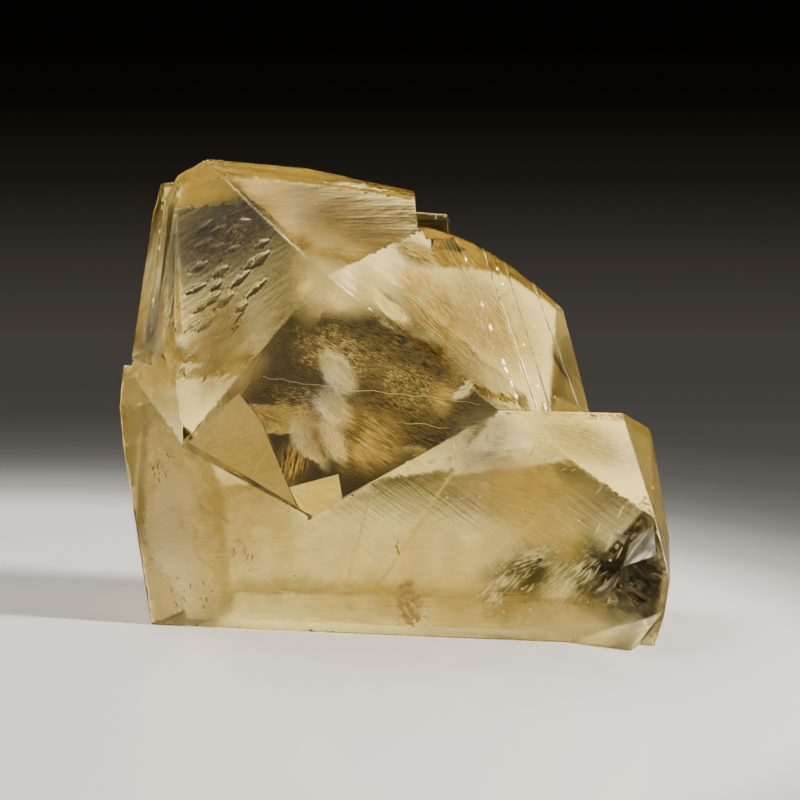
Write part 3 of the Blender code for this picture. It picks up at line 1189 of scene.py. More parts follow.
@dataclass
class CrispInnerFaces:
    """Crisp three-cornered faces inside the crystal: fractures, and pale faces that paint light.

    Attributes:
        name: The piece's name.
        finish: What they are dressed with.
        corners: The three corners of each face.
        steps: Number of strips in each face's mesh.
        bulge_mm: How far the middle of a face stands out.
        clearance_mm: How far they stay under the surface.
    """

    name: str
    finish: VeilFinish
    corners: tuple[tuple[Place, Place, Place], ...]
    steps: int = 10
    bulge_mm: float = 0.35
    clearance_mm: float = 0.12

    def build(self, inside: "InsideTest") -> bpy.types.Object:
        """Make the faces as one piece.

        Args:
            inside: Tells which points lie in the crystal.

        Returns:
            The piece.
        """
        places, lies, faces = [], [], []
        for corners in self.corners:
            first, second, third = (np.array(corner) for corner in corners)
            normal = np.cross(second - first, third - first)
            normal /= np.linalg.norm(normal)
            number = {}
            for row in range(self.steps + 1):
                for column in range(self.steps + 1 - row):
                    u, v = row / self.steps, column / self.steps
                    swell = self.bulge_mm * MIDDLE_GAIN * u * v * (1.0 - u - v)
                    place = first + (second - first) * u + (third - first) * v + normal * swell
                    if inside.depth_mm(place) > self.clearance_mm:
                        number[row, column] = len(places)
                        places.append(place)
                        lies.append((u * np.linalg.norm(second - first) + first[0] * CRISP_FACE_SHIFT,
                                     v * np.linalg.norm(third - first)))
            for row, column in list(number):
                for triangle in (((row, column), (row + 1, column), (row, column + 1)),
                                 ((row, column), (row, column + 1), (row - 1, column + 1))):
                    if all(spot in number for spot in triangle):
                        faces.append(tuple(number[spot] for spot in triangle))
        spans = [(0.0, 0.0)] * len(places)
        return film(self.name, places, faces, {"sheet": spans, "lie": lies}, self.finish)


def beside(path: tuple[Place, ...], shift: Place, count: int) -> tuple[tuple[Place, ...], ...]:
    """Copies of a path, each moved a little further than the last.

    Args:
        path: The first path.
        shift: The move from one path to the next.
        count: Number of paths.

    Returns:
        The paths.
    """
    return tuple(tuple(tuple(value + step * move for value, move in zip(place, shift))
                       for place in path) for step in range(count))


class InsideTest:
    """Tells how deep a place lies inside the crystal.

    Attributes:
        ray_way: Direction of the rays that count the surface's crossings.
        ray_skip: How far behind a crossing a ray goes on, in metres.
        tree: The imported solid's faces.
    """

    ray_way: Vector = Vector((0.301, 0.211, 0.93)).normalized()
    ray_skip: float = 1e-6

    def __init__(self) -> None:
        """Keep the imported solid's faces for the test."""
        mesh = bmesh.new()
        mesh.from_mesh(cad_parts[NODE].data)
        self.tree = BVHTree.FromBMesh(mesh)
        mesh.free()

    def holds(self, point: Vector) -> bool:
        """Whether a place is inside, from how often a ray crosses the surface.

        Args:
            point: The place, in metres.

        Returns:
            True inside the crystal.
        """
        inside = False
        hit = self.tree.ray_cast(point, self.ray_way)[0]
        while hit is not None:
            inside = not inside
            hit = self.tree.ray_cast(hit + self.ray_way * self.ray_skip, self.ray_way)[0]
        return inside

    def depth_mm(self, place: np.ndarray) -> float:
        """Depth of a place in millimetres under the crystal's surface, below 0 outside it."""
        point = Vector(place) * MM
        distance = self.tree.find_nearest(point)[3]
        return (distance if self.holds(point) else -distance) / MM


@dataclass(frozen=True)
class FlakeFinish:
    """Opaque small inclusions.

    Attributes:
        name: The finish's name.
        dark: Colour of the darker ones.
        pale: Colour of the paler ones.
        roughness: Their roughness.
        metallic: How far they mirror.
    """

    name: str
    dark: Colour
    pale: Colour
    roughness: float = 0.5
    metallic: float = 0.0

    def material(self) -> bpy.types.Material:
        """Build the material.

        Returns:
            A material whose colour changes from place to place.
        """
        material, tree, shader = start_material(self.name, {
            "Roughness": self.roughness, "Metallic": self.metallic})
        where = add_node(tree, "ShaderNodeTexCoord").outputs["Object"]
        cloud = add_node(tree, "ShaderNodeTexNoise", {"Scale": FLAKE_MOTTLE, "Vector": where})
        feed(shader, {"Base Color": mixed(tree, cloud.outputs["Fac"], self.dark, self.pale)})
        return material


SILVER_FLAKE = FlakeFinish("silver_flake", (0.80, 0.77, 0.68), (1.0, 0.98, 0.92), 0.3, 0.6)
WHITE_SPECK = FlakeFinish("white_speck", (0.85, 0.80, 0.66), (1.0, 0.98, 0.92))
ROSE_GRAIN = FlakeFinish("rose_grain", (0.36, 0.25, 0.19), (0.66, 0.54, 0.45), 0.7)
DARK_SPECK = FlakeFinish("dark_speck", (0.03, 0.025, 0.02), (0.12, 0.10, 0.06), 0.7)


def finish_growth(
    tree: bpy.types.NodeTree, given: bpy.types.NodeOutputs, result: bpy.types.NodeSocket
) -> bpy.types.NodeTree:
    """End a Geometry Nodes tree by making its instances real and dressing them.

    Args:
        tree: The tree.
        given: What the tree is given, with a Material.
        result: The geometry so far.

    Returns:
        The tree.
    """
    real = add_node(tree, "GeometryNodeRealizeInstances", {"Geometry": result})
    dress = add_node(tree, "GeometryNodeSetMaterial", {
        "Geometry": real.outputs["Geometry"], "Material": given["Material"]})
    add_node(tree, "NodeGroupOutput", {"Geometry": dress.outputs["Geometry"]})
    return tree


def grown_by_nodes(
    name: str, base: bpy.types.Object, tree: bpy.types.NodeTree, values: dict[str, object]
) -> bpy.types.Object:
    """Run a Geometry Nodes tree on an object and keep the result as plain mesh.

    Args:
        name: Name of the result.
        base: The object that the tree starts from, which is removed.
        tree: The tree.
        values: Its inputs, by name.

    Returns:
        The result as an object.
    """
    modifier = base.modifiers.new("grow", "NODES")
    modifier.node_group = tree
    for item in tree.interface.items_tree:
        if item.in_out == "INPUT" and item.name in values:
            modifier[item.identifier] = values[item.name]
    evaluated = base.evaluated_get(bpy.context.evaluated_depsgraph_get())
    mesh = bpy.data.meshes.new_from_object(evaluated)
    mesh.name = name
    base.modifiers.clear()
    bpy.data.objects.remove(base)
    LOG.info("%s: %d faces", name, len(mesh.polygons))
    return place_object(name, mesh)


@dataclass
class FlakeField:
    """Flakes scattered over a sheet inside the crystal by Geometry Nodes.

    Attributes:
        name: The piece's name.
        finish: What the flakes are dressed with.
        sheets: The sheets that they lie on.
        count: Flakes on each square centimetre.
        flake_mm: Length and width of one flake.
        turn_deg: Lean of the flakes, anticlockwise from the sheet's width, and its spread.
        seed: Seed of the scatter.
    """

    name: str
    finish: FlakeFinish
    sheets: tuple[Sheet, ...]
    count: float
    flake_mm: tuple[float, float]
    turn_deg: tuple[float, float] = (0.0, 180.0)
    seed: int = 1

    @staticmethod
    @cache
    def tree() -> bpy.types.NodeTree:
        """Node tree that scatters flakes over the faces it is given.

        Returns:
            The tree, with inputs Density, Length, Width, Lean, Spread, Seed and Material.
        """
        tree, given = start_group("Flake Scatter", "GeometryNodeTree", {
            "Geometry": "Geometry", "Density": 0.0, "Length": 0.0, "Width": 0.0, "Lean": 0.0,
            "Spread": 0.0, "Seed": "Int", "Material": "Material"}, {"Geometry": "Geometry"})
        scatter = add_node(tree, "GeometryNodeDistributePointsOnFaces", {
            "Mesh": given["Geometry"], "Density": given["Density"], "Seed": given["Seed"]})
        flake = add_node(tree, "GeometryNodeMeshCircle", {"Vertices": 7, "Radius": 0.5},
                         fill_type="TRIANGLE_FAN")
        size = add_node(tree, "ShaderNodeCombineXYZ", {
            "X": given["Length"], "Y": given["Width"], "Z": 1.0})
        chance, stray = (
            add_node(tree, "FunctionNodeRandomValue", {2: low, 3: high, "Seed": given["Seed"]},
                     data_type="FLOAT").outputs[1] for low, high in (FLAKE_SIZES, (-1.0, 1.0)))
        scaled = add_node(tree, "ShaderNodeVectorMath", {0: size.outputs[0], "Scale": chance},
                          operation="SCALE")
        swing = add_node(tree, "ShaderNodeMath", {0: stray, 1: given["Spread"], 2: given["Lean"]},
                         operation="MULTIPLY_ADD")
        tip = math_node(tree, "MULTIPLY", stray, 0.5)
        turn = add_node(tree, "ShaderNodeCombineXYZ", {"Z": swing.outputs[0], "X": tip})
        euler = add_node(tree, "FunctionNodeRotateEuler", {
            "Rotation": scatter.outputs["Rotation"], "Rotate By": turn.outputs[0]},
            rotation_type="EULER", space="LOCAL")
        placed = add_node(tree, "GeometryNodeInstanceOnPoints", {
            "Points": scatter.outputs["Points"], "Instance": flake.outputs["Mesh"],
            "Rotation": euler.outputs[0], "Scale": scaled.outputs[0]})
        return finish_growth(tree, given, placed.outputs["Instances"])

    def build(self, inside: InsideTest) -> bpy.types.Object:
        """Scatter the flakes as one piece.

        Args:
            inside: Tells which points lie in the crystal.

        Returns:
            The piece.
        """
        ground = VeilSet(self.name + "_ground", MILKY_VEIL, self.sheets, clearance_mm=0.6)
        base = ground.build(inside)
        length, width = self.flake_mm
        lean, spread = self.turn_deg
        values = {"Density": self.count * CM2_IN_M2, "Length": length * MM, "Width": width * MM,
                  "Lean": math.radians(lean), "Spread": math.radians(spread),
                  "Seed": self.seed, "Material": self.finish.material()}
        return grown_by_nodes(self.name, base, self.tree(), values)


@dataclass
class CrackLines:
    """Fine cracks and growth lines that follow paths just under the surface.

    Attributes:
        name: The piece's name.
        finish: What they are dressed with.
        paths: Their points.
        thickness_mm: Their thickness in the middle.
        stray_mm: How far they stray from their paths.
        seed: Seed of the straying.
    """

    name: str
    finish: FlakeFinish
    paths: tuple[tuple[Place, ...], ...]
    thickness_mm: float = 0.16
    stray_mm: float = 0.5
    seed: int = 1

    @staticmethod
    @cache
    def tree() -> bpy.types.NodeTree:
        """Node tree that turns edges into thin tapered lines.

        Returns:
            The tree, with inputs Radius, Stray, Seed and Material.
        """
        tree, given = start_group("Crack Line", "GeometryNodeTree", {
            "Geometry": "Geometry", "Radius": 0.0, "Stray": 0.0, "Seed": 0.0,
            "Material": "Material"}, {"Geometry": "Geometry"})
        curve = add_node(tree, "GeometryNodeMeshToCurve", {"Mesh": given["Geometry"]})
        finer = add_node(tree, "GeometryNodeResampleCurve", {
            "Curve": curve.outputs["Curve"], "Length": CRACK_STEP}, mode="LENGTH")
        where = add_node(tree, "GeometryNodeInputPosition")
        stray = add_node(tree, "ShaderNodeTexNoise", {
            "Vector": where.outputs[0], "W": given["Seed"], "Scale": 420.0, "Detail": 3.0},
            noise_dimensions="4D")
        centred = add_node(tree, "ShaderNodeVectorMath",
                           {0: stray.outputs["Color"], 1: (0.5, 0.5, 0.5)}, operation="SUBTRACT")
        moved = add_node(tree, "ShaderNodeVectorMath",
                         {0: centred.outputs[0], "Scale": given["Stray"]}, operation="SCALE")
        shift = add_node(tree, "GeometryNodeSetPosition", {
            "Geometry": finer.outputs["Curve"], "Offset": moved.outputs[0]})
        share = add_node(tree, "GeometryNodeSplineParameter")
        swell = math_node(tree, "PINGPONG", share.outputs["Factor"], 0.5)
        full = math_node(tree, "MULTIPLY", math_node(tree, "ADD", swell, CRACK_END), 2.0)
        thick = add_node(tree, "GeometryNodeSetCurveRadius", {
            "Curve": shift.outputs["Geometry"],
            "Radius": math_node(tree, "MULTIPLY", full, given["Radius"])})
        ring = add_node(tree, "GeometryNodeCurvePrimitiveCircle", {"Resolution": 5, "Radius": 1.0})
        size = add_node(tree, "GeometryNodeInputRadius")
        tube = add_node(tree, "GeometryNodeCurveToMesh", {
            "Curve": thick.outputs["Curve"], "Profile Curve": ring.outputs["Curve"],
            "Scale": size.outputs[0], "Fill Caps": True})
        return finish_growth(tree, given, tube.outputs["Mesh"])

    def build(self) -> bpy.types.Object:
        """Make the lines as one piece.

        Returns:
            The piece.
        """
        places, edges = [], []
        for path in self.paths:
            start = len(places)
            places.extend(tuple(value * MM for value in place) for place in path)
            edges.extend((start + step, start + step + 1) for step in range(len(path) - 1))
        mesh = bpy.data.meshes.new(self.name + "_paths")
        mesh.from_pydata(places, edges, [])
        values = {"Radius": self.thickness_mm / 2 * MM, "Stray": self.stray_mm * MM,
                  "Seed": float(self.seed), "Material": self.finish.material()}
        return grown_by_nodes(self.name, place_object(self.name, mesh), self.tree(), values)


@dataclass
class Inclusions:
    """Everything that lies inside the crystal.

    Attributes:
        inside: Tells which points lie in the crystal.
        ridge: Path of the first of the growth ridges beside the flank's step.
        ridge_shift: The move from one ridge to the next.
        ridge_count: Number of ridges.
    """

    inside: InsideTest
    ridge: tuple[Place, ...] = (
        (9.3, -2.3, 57.3), (12.0, -2.2, 52.1), (13.8, -3.0, 46.9), (14.8, -5.3, 40.5),
        (16.8, -6.6, 34.0),
    )
    ridge_shift: Place = (-0.62, -0.58, 0.0)
    ridge_count: int = 5

    def clouds(self) -> tuple[VeilSet, ...]:
        """Soft clouds of colour and milk, and clouds of painted shade.

        Returns:
            The sets, in the order in which they are built.
        """
        return (
            VeilSet("milky_veils", MILKY_VEIL, (
                Sheet((-8.5, -17.6, 51.2), 10.0, -10.0, (9.5, 5.0), -16.0, 0.8),
                Sheet((-11.0, -18.0, 53.0), -20.0, 5.0, (6.0, 9.0), 0.0, 0.6),
                Sheet((-5.0, -16.4, 51.5), 20.0, 5.0, (6.0, 3.4), -38.0, 0.4),
                Sheet((-32.0, 2.0, 13.0), 25.0, 30.0, (13.0, 26.0), 0.0, 0.3),
            )),
            VeilSet("honey_clouds", HONEY_CLOUD, (
                Sheet((-20.0, 0.0, 12.0), -15.0, 5.0, (22.0, 14.0), 5.0, 1.5),
                Sheet((8.0, -6.0, 9.0), -8.0, 12.0, (34.0, 12.0), -3.0, 1.2),
                Sheet((0.0, -8.5, 3.4), -12.0, 12.0, (48.0, 8.5), 0.0, 0.6),
                Sheet((-31.0, 2.0, 32.0), -45.0, 5.0, (9.0, 18.0), -10.0, 1.0),
                Sheet((-24.5, -11.0, 40.5), -32.0, 11.0, (14.0, 10.5), 60.0, 0.3),
                Sheet((17.0, -8.2, 23.0), -12.0, 13.0, (20.0, 7.0), -6.0, 0.4),
                Sheet((16.0, 5.0, 42.0), 48.0, 15.0, (11.0, 11.0), -50.0, 0.8),
                Sheet((-23.0, -0.9, 19.5), -12.0, 13.0, (14.0, 9.0), -30.0, 0.1),
            )),
            VeilSet("amber_clouds", AMBER_CLOUD, (
                Sheet((18.5, -9.0, 20.5), -8.0, 12.0, (13.0, 10.0), -20.0, 0.8),
                Sheet((23.5, -9.8, 14.5), -8.0, 12.0, (10.0, 6.5), -35.0, 0.6),
            )),
            VeilSet("flank_streaks", FLANK_STREAK, (
                Sheet((12.5, -3.5, 45.5), 44.0, 19.7, (18.0, 14.0), -50.0, 0.1),
                Sheet((28.0, -6.6, 27.0), 30.0, 51.0, (15.0, 9.0), -32.0, 0.1),
                Sheet((-24.0, -9.8, 42.5), -32.0, 11.0, (13.0, 8.0), 82.0, 0.1),
            )),
            VeilSet("rose_clouds", ROSE_CLOUD, (
                Sheet((-5.5, -7.2, 29.5), 8.0, -22.0, (12.0, 9.0), -35.0, 0.6),
                Sheet((7.6, -8.4, 35.4), 10.0, -22.0, (3.6, 5.0), -20.0, 0.3),
            )),
            # Painted shade over the window, with hair-fine veil lines
            VeilSet("olive_hair_and_painted_shade_sheets", OLIVE_HAIR_AND_PAINTED_SHADE, (
                Sheet((-1.0, -7.5, 38.0), 9.0, -22.0, (32.0, 24.0), -30.0, 0.5),
            )),
            # Painted shade behind the upper etched face and the left strip
            VeilSet("painted_shade_clouds", PAINTED_SHADE_CLOUD, (
                Sheet((-24.0, -9.5, 59.0), -32.0, 11.0, (19.0, 10.5), 27.0, 0.3),
                Sheet((-35.0, -3.5, 46.5), -60.0, 4.0, (4.0, 9.0), 0.0, 0.2),
            )),
        )

    def films(self) -> tuple[VeilSet, ...]:
        """Streaks, mirror films, dark marks with painted shade, and wisps with one painted glint.

        Returns:
            The sets, in the order in which they are built.
        """
        return (
            VeilSet("dark_streaks", DARK_STREAK, (
                Sheet((5.2, -9.8, 48.7), 43.5, 19.7, (13.0, 7.0), -47.0, 0.1),
                Sheet((2.9, -7.4, 55.6), 43.5, 19.7, (7.5, 3.2), -24.0, 0.1),
                Sheet((-14.9, -6.9, 25.6), 5.0, -20.0, (6.0, 3.6), 80.0, 0.1),
                Sheet((-18.5, -11.8, 32.8), 5.0, -22.0, (4.5, 2.6), -30.0, 0.1),
            )),
            VeilSet("gold_films", GOLD_FILM, (
                Sheet((-8.2, -12.6, 39.4), 33.0, 10.0, (5.5, 3.4), -60.0, 0.5),
                Sheet((-9.2, -10.8, 34.2), 33.0, 10.0, (4.6, 3.6), -55.0, 0.5),
                Sheet((-12.6, -8.8, 28.8), 33.0, 10.0, (7.5, 3.6), -72.0, 0.5),
                Sheet((-9.2, -8.6, 29.6), 32.0, 9.0, (6.5, 2.8), -74.0, 0.4),
                Sheet((-1.4, -13.0, 48.3), 41.0, 19.0, (5.5, 2.4), -44.0, 0.1),
            )),
            VeilSet("gold_hair", GOLD_HAIR, (
                Sheet((-8.0, -11.5, 42.5), 8.0, -20.0, (15.0, 9.0), -24.0, 0.6),
                Sheet((2.5, -9.2, 37.0), 10.0, -20.0, (13.0, 8.0), -36.0, 0.6),
                Sheet((-14.0, -10.0, 34.5), 5.0, -20.0, (10.0, 6.5), -12.0, 0.6),
                Sheet((3.2, -7.6, 55.8), 43.5, 19.7, (7.0, 3.4), -22.0, 0.2),
                Sheet((-24.2, -10.6, 56.5), -32.0, 11.0, (16.0, 9.0), 36.0, 0.2),
            )),
            VeilSet("dark_marks_and_painted_shade", DARK_MARK_AND_PAINTED_SHADE, (
                # Painted shade in the lower right window
                Sheet((20.0, -9.2, 7.6), -8.0, 12.0, (13.0, 7.5), 38.0, 0.6),
                Sheet((29.0, -11.0, 10.5), -8.0, 12.0, (10.0, 7.5), -35.0, 0.4),
                Sheet((37.0, -16.4, 7.6), -8.0, 12.0, (10.0, 11.0), -40.0, 0.4),
                # Painted shade behind the upper left sliver, then two dark marks on the flank
                Sheet((-32.6, -7.5, 54.5), -55.0, 7.0, (2.6, 12.0), 0.0, 0.2),
                Sheet((2.9, -7.0, 55.4), 43.5, 19.7, (6.5, 3.0), -22.0, 0.2),
                Sheet((25.0, 6.6, 37.2), 57.0, 21.0, (5.0, 1.7), -66.0, 0.2),
            )),
            VeilSet("grey_haze", GREY_HAZE, (
                Sheet((14.0, -8.2, 28.5), -8.0, 12.0, (8.0, 7.0), 0.0, 0.4),
            )),
            VeilSet("pearl_wisps_and_painted_glint", PEARL_WISP_AND_PAINTED_GLINT, (
                Sheet((15.5, -11.4, 6.5), -8.0, 12.0, (8.5, 5.0), 48.0, 0.5),
                Sheet((26.0, -12.8, 8.0), -8.0, 12.0, (9.5, 5.4), 40.0, 0.5),
                Sheet((21.0, -11.4, 11.0), -8.0, 12.0, (9.0, 3.4), 22.0, 0.4),
                # Painted glint: a pale sheet where the window shows a bluish-white glint
                Sheet((9.8, -8.8, 36.0), 12.0, -20.0, (3.4, 2.4), 30.0, 0.2),
            )),
        )

    def fractures_and_painted_light(self) -> tuple[CrispInnerFaces, ...]:
        """Crisp fracture faces, and the pale faces that paint light at the window's tip.

        Returns:
            The sets, in the order in which they are built.
        """
        return (
            CrispInnerFaces("silver_faces", SILVER_FACE, (
                ((38.0, -16.4, 16.9), (34.6, -16.0, 14.0), (33.6, -17.0, 10.9)),
                ((38.0, -16.4, 16.9), (33.6, -17.0, 10.9), (38.3, -17.6, 12.6)),
                ((31.6, -13.4, 15.8), (34.5, -14.4, 14.8), (33.9, -14.6, 13.6)),
                ((29.6, -14.0, 6.4), (33.2, -15.2, 9.8), (31.4, -15.6, 5.0)),
            )),
            CrispInnerFaces("brown_faces", BROWN_FACE, (
                ((-29.6, -14.9, 28.8), (-22.2, -16.6, 36.3), (-19.0, -14.0, 31.6)),
                ((-29.6, -14.9, 28.8), (-19.0, -14.0, 31.6), (-21.9, -11.3, 23.7)),
                ((-21.9, -11.3, 23.7), (-19.0, -14.0, 31.6), (-17.2, -11.4, 26.5)),
                ((-21.9, -11.3, 23.7), (-17.2, -11.4, 26.5), (-15.8, -9.4, 22.6)),
                ((-21.9, -11.3, 23.7), (-15.8, -9.4, 22.6), (-14.2, -7.6, 18.3)),
            ), 40, 0.0, 0.04),
            # Painted light at the window's tip
            CrispInnerFaces("painted_light_faces", PAINTED_LIGHT_FACE, (
                ((-15.2, -8.9, 21.4), (-11.8, -8.5, 22.2), (-8.0, -8.3, 23.3)),
                ((-15.2, -8.9, 21.4), (-8.0, -8.3, 23.3), (-7.4, -6.3, 19.0)),
                ((-15.2, -8.9, 21.4), (-7.4, -6.3, 19.0), (-11.4, -5.9, 16.5)),
                ((-15.2, -8.9, 21.4), (-11.4, -5.9, 16.5), (-13.8, -7.3, 18.0)),
            ), 30, 0.1, 0.04),
        )

    def flakes(self) -> tuple[FlakeField, ...]:
        """Grains of the rose inclusion, then flakes, specks and dendrites.

        Returns:
            The sets, in the order in which they are built.
        """
        return (
            FlakeField("rose_inclusion", ROSE_GRAIN, (
                Sheet((2.6, -11.0, 4.4), -12.0, 13.0, (1.9, 3.7), 12.0, 0.1),
            ), 800.0, (0.6, 0.45), (0.0, 180.0), 11),
            FlakeField("silver_flakes", SILVER_FLAKE, (
                Sheet((25.0, -10.5, 8.0), -8.0, 12.0, (10.0, 4.5), 10.0, 0.8),
                Sheet((31.0, -13.0, 11.5), 0.0, 15.0, (3.5, 4.5), 0.0, 0.6),
                Sheet((27.0, -10.0, 23.0), 0.0, 30.0, (10.0, 1.6), -35.0, 0.3),
                Sheet((10.0, -6.5, 24.5), -5.0, 10.0, (3.0, 4.5), 20.0, 0.5),
            ), 22.0, (1.8, 0.16), (38.0, 30.0), 3),
            FlakeField("white_specks", WHITE_SPECK, (
                Sheet((18.0, 0.0, 42.0), 50.0, 20.0, (9.0, 12.0), 0.0, 0.3),
                Sheet((5.0, -10.8, 11.0), -12.0, 13.0, (28.0, 10.0), 0.0, 0.2),
            ), 7.0, (0.35, 0.3), (0.0, 180.0), 5),
            FlakeField("dark_dendrites", DARK_SPECK, (
                Sheet((-30.0, -4.3, 4.5), -14.0, 11.0, (4.0, 3.2), 0.0, 0.2),
                Sheet((-22.5, -4.0, 11.0), -14.0, 11.0, (3.0, 1.8), -35.0, 0.2),
                Sheet((-34.5, 1.0, 23.0), -14.0, 11.0, (2.0, 2.4), 0.0, 0.2),
                Sheet((0.5, -8.3, 12.5), -12.0, 13.0, (2.0, 1.2), 0.0, 0.2),
            ), 90.0, (0.8, 0.16), (60.0, 60.0), 9),
        )

    def cracks(self) -> tuple[CrackLines, ...]:
        """Growth ridges, then dark and pale cracks.

        Returns:
            The sets, in the order in which they are built.
        """
        return (
            CrackLines("pale_ridges", SILVER_FLAKE,
                       beside(self.ridge, self.ridge_shift, self.ridge_count), 0.15, 1.1, 6),
            CrackLines("dark_cracks", DARK_SPECK, (
                ((-20.1, -14.3, 49.0), (-21.6, -13.8, 47.0), (-22.3, -13.6, 45.6), (-24.0, -13.4, 43.5)),
                ((-26.6, -13.5, 38.6), (-27.4, -13.3, 37.2)),
                ((-21.9, -16.3, 37.0), (-19.2, -13.7, 32.1), (-17.4, -11.4, 27.4), (-14.2, -7.6, 19.9)),
            ), 0.24, 0.9, 2),
            CrackLines("pale_cracks", SILVER_FLAKE, (
                ((-18.8, -16.6, 38.7), (-6.0, -14.0, 36.5), (4.0, -11.7, 35.2), (13.0, -9.0, 33.8)),
                ((0.2, -10.4, 31.4), (8.6, -8.3, 30.2)),
                ((-0.8, -11.7, 56.5), (3.6, -7.0, 58.3)),
                ((-29.6, -2.6, 15.4), (-15.2, -8.2, 4.8)),
                ((9.0, -8.6, 28.4), (9.6, -8.8, 25.0), (8.4, -9.0, 22.2)),
                ((9.6, -8.8, 25.0), (14.0, -9.2, 26.2)),
            ), 0.08, 1.2, 4),
        )

    def build(self) -> list[bpy.types.Object]:
        """Build all of it.

        Returns:
            The pieces.
        """
        grains, *scattered = self.flakes()
        ridges, *cracks = self.cracks()
        first = (*self.clouds(), *self.films(), *self.fractures_and_painted_light(), grains)
        made = [*(each.build(self.inside) for each in first), ridges.build()]
        return [*made, *(each.build(self.inside) for each in scattered),
                *(each.build() for each in cracks)]


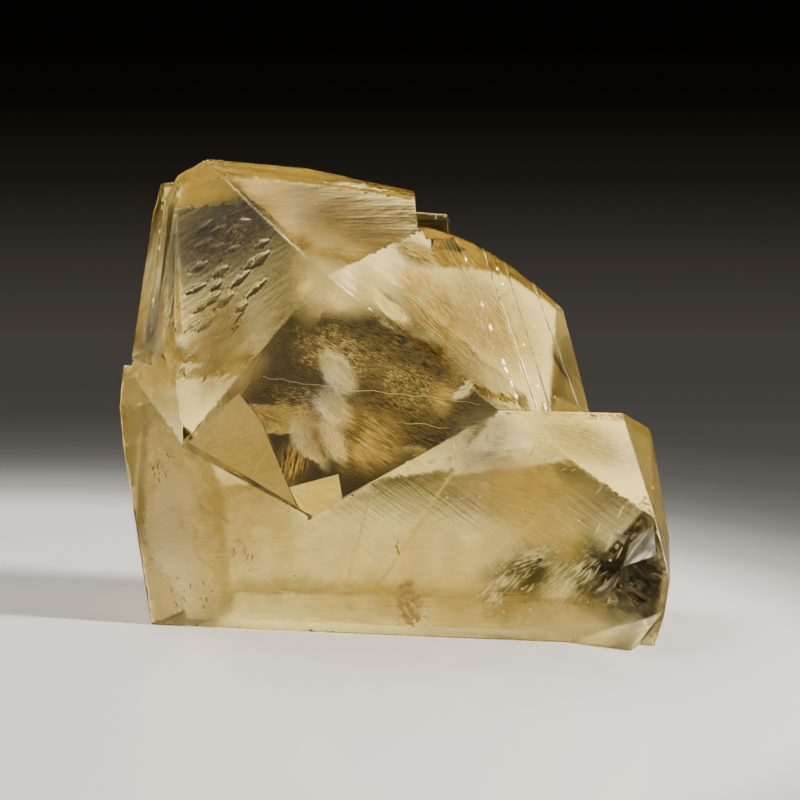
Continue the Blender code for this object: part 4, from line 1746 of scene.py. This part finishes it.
@dataclass
class Studio:
    """The plain stage: a pale glossy floor with a painted pool of light, a dark graded surround, soft
    lamps and the camera.

    Attributes:
        eye: Where the camera stands, in metres.
        elevation_deg: How far it looks down.
        lens_mm: Its focal length.
        floor_drop: How far the floor lies below the crystal's base.
        floor_radius: Radius of the floor.
        floor_fade: Distances from its middle between which it fades into the surround.
        floor_tint: Tint of its greys.
        painted_pool_centre: Middle of the pool of light painted into its colour.
        painted_pool_turn_deg: Turn of the pool.
        painted_pool_stretch: How far the pool is stretched.
        painted_pool_scale: What turns a distance from its middle into a place on the ramp of greys.
        painted_pool_greys: The ramp's greys, by their places on it, which paint the floor light in the
            pool and darker away from it.
        aim_height: Height of the place that the lamps face.
    """

    eye: Place = (0.00112, -0.51156, 0.0960)
    elevation_deg: float = 7.0
    lens_mm: float = 155.17
    floor_drop: float = 0.00006
    floor_radius: float = 0.62
    floor_fade: tuple[float, float] = (0.18, 0.4)
    floor_tint: Colour = (1.0, 0.97, 0.93)
    painted_pool_centre: Place = (-0.060, -0.020, 0.0)
    painted_pool_turn_deg: float = 120.0
    painted_pool_stretch: Place = (1.15, 1.0, 1.0)
    painted_pool_scale: float = 2.5
    painted_pool_greys: tuple[tuple[float, float], ...] = (
        (0.0, 0.80), (0.29, 0.78), (0.35, 0.34), (0.41, 0.15), (0.45, 0.10), (0.5, 0.075),
        (0.6, 0.055),
    )
    aim_height: float = 0.03

    def camera(self) -> None:
        """Place the camera at the photograph's viewing angle."""
        data = bpy.data.cameras.new("camera")
        data.lens = self.lens_mm
        data.sensor_width = 36.0
        data.clip_start = 0.01
        camera = bpy.data.objects.new("camera", data)
        camera.location = self.eye
        camera.rotation_euler = (math.radians(90.0 - self.elevation_deg), 0.0, 0.0)
        bpy.context.scene.collection.objects.link(camera)
        bpy.context.scene.camera = camera

    def lamp(
        self, name: str, place: Place, size: tuple[float, float], watts: float, colour: Colour
    ) -> None:
        """Hang a soft box that faces the middle of the crystal.

        Args:
            name: The lamp's name.
            place: Where it hangs, in metres.
            size: Its width and height.
            watts: Its power.
            colour: Its colour.
        """
        data = bpy.data.lights.new(name, "AREA")
        data.shape = "RECTANGLE"
        data.size, data.size_y = size
        data.energy = watts
        data.color = colour
        lamp = bpy.data.objects.new(name, data)
        lamp.location = place
        aim = Vector(place) - Vector((0.0, 0.0, self.aim_height))
        lamp.rotation_euler = aim.to_track_quat("Z", "Y").to_euler()
        bpy.context.scene.collection.objects.link(lamp)

    def surround(self) -> None:
        """Grade the surround from grey below to black well above the horizon."""
        world = bpy.data.worlds.new("surround")
        world.use_nodes = True
        tree = world.node_tree
        where = add_node(tree, "ShaderNodeTexCoord").outputs["Generated"]
        split = add_node(tree, "ShaderNodeSeparateXYZ", {0: where})
        height = mapped(tree, split.outputs["Z"], (-0.25, 0.25), easing="LINEAR")
        feed(tree.nodes["Background"], {"Color": graded(tree, height, (
            (0.0, (0.066, 0.060, 0.053)),
            (0.24, (0.066, 0.060, 0.053)),
            (0.29, (0.060, 0.053, 0.046)),
            (0.33, (0.045, 0.039, 0.032)),
            (0.38, (0.0165, 0.0135, 0.0105)),
            (0.43, (0.0045, 0.0038, 0.0020)),
            (0.47, (0.0012, 0.0009, 0.0006)),
        ))})
        bpy.context.scene.world = world

    def floor_material(self) -> bpy.types.Material:
        """Build the pale glossy floor's material, with a pool of light painted into its colour and gone
        at its rim.

        Returns:
            The material.
        """
        material, tree, shader = start_material("pale_floor", {"Roughness": 0.14})
        where = add_node(tree, "ShaderNodeTexCoord").outputs["Object"]
        pool = add_node(tree, "ShaderNodeMapping", {
            "Vector": where, "Location": self.painted_pool_centre,
            "Rotation": (0.0, 0.0, math.radians(self.painted_pool_turn_deg)), "Scale": self.painted_pool_stretch},
            vector_type="TEXTURE")
        painted_pool_distance, centred = (
            add_node(tree, "ShaderNodeVectorMath", {0: each}, operation="LENGTH").outputs["Value"]
            for each in (pool.outputs[0], where))
        red, green, blue = self.floor_tint
        stops = tuple((place, (grey * red, grey * green, grey * blue))
                      for place, grey in self.painted_pool_greys)
        # Painted pool of light: the floor's colour is lightest in the pool and darker away from it
        feed(shader, {
            "Base Color": graded(tree, math_node(tree, "MULTIPLY", painted_pool_distance, self.painted_pool_scale), stops),
            "Alpha": mapped(tree, centred, self.floor_fade, (1.0, 0.0))})
        return material

    def floor(self) -> None:
        """Lay the floor."""
        work = bmesh.new()
        bmesh.ops.create_circle(
            work, cap_ends=True, segments=96, radius=self.floor_radius,
            matrix=Matrix.Translation((0.0, 0.0, -self.floor_drop)),
        )
        mesh = bpy.data.meshes.new("floor")
        work.to_mesh(mesh)
        work.free()
        mesh.materials.append(self.floor_material())
        place_object("floor", mesh)

    def build(self) -> None:
        """Set up the whole stage."""
        self.camera()
        self.floor()
        self.surround()
        self.lamp("key_right", (0.548, -0.165, 0.27), (0.08, 0.08), 17.5, (1.0, 0.95, 0.87))
        self.lamp("top_back", (-0.17, 0.24, 0.47), (0.34, 0.24), 3.8, (1.0, 0.97, 0.93))


def main() -> None:
    """Build the crystal and its stage, and report each piece."""
    logging.basicConfig(level=logging.INFO, format="%(name)s: %(message)s")
    crystal = CrystalShell().build()
    crystal.data.materials.append(ClearCalcite().material())
    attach(crystal, BODY)
    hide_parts(NODE)
    for piece in Inclusions(InsideTest()).build():
        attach(piece, BODY)
    Studio().build()


if __name__ == "__main__":
    main()
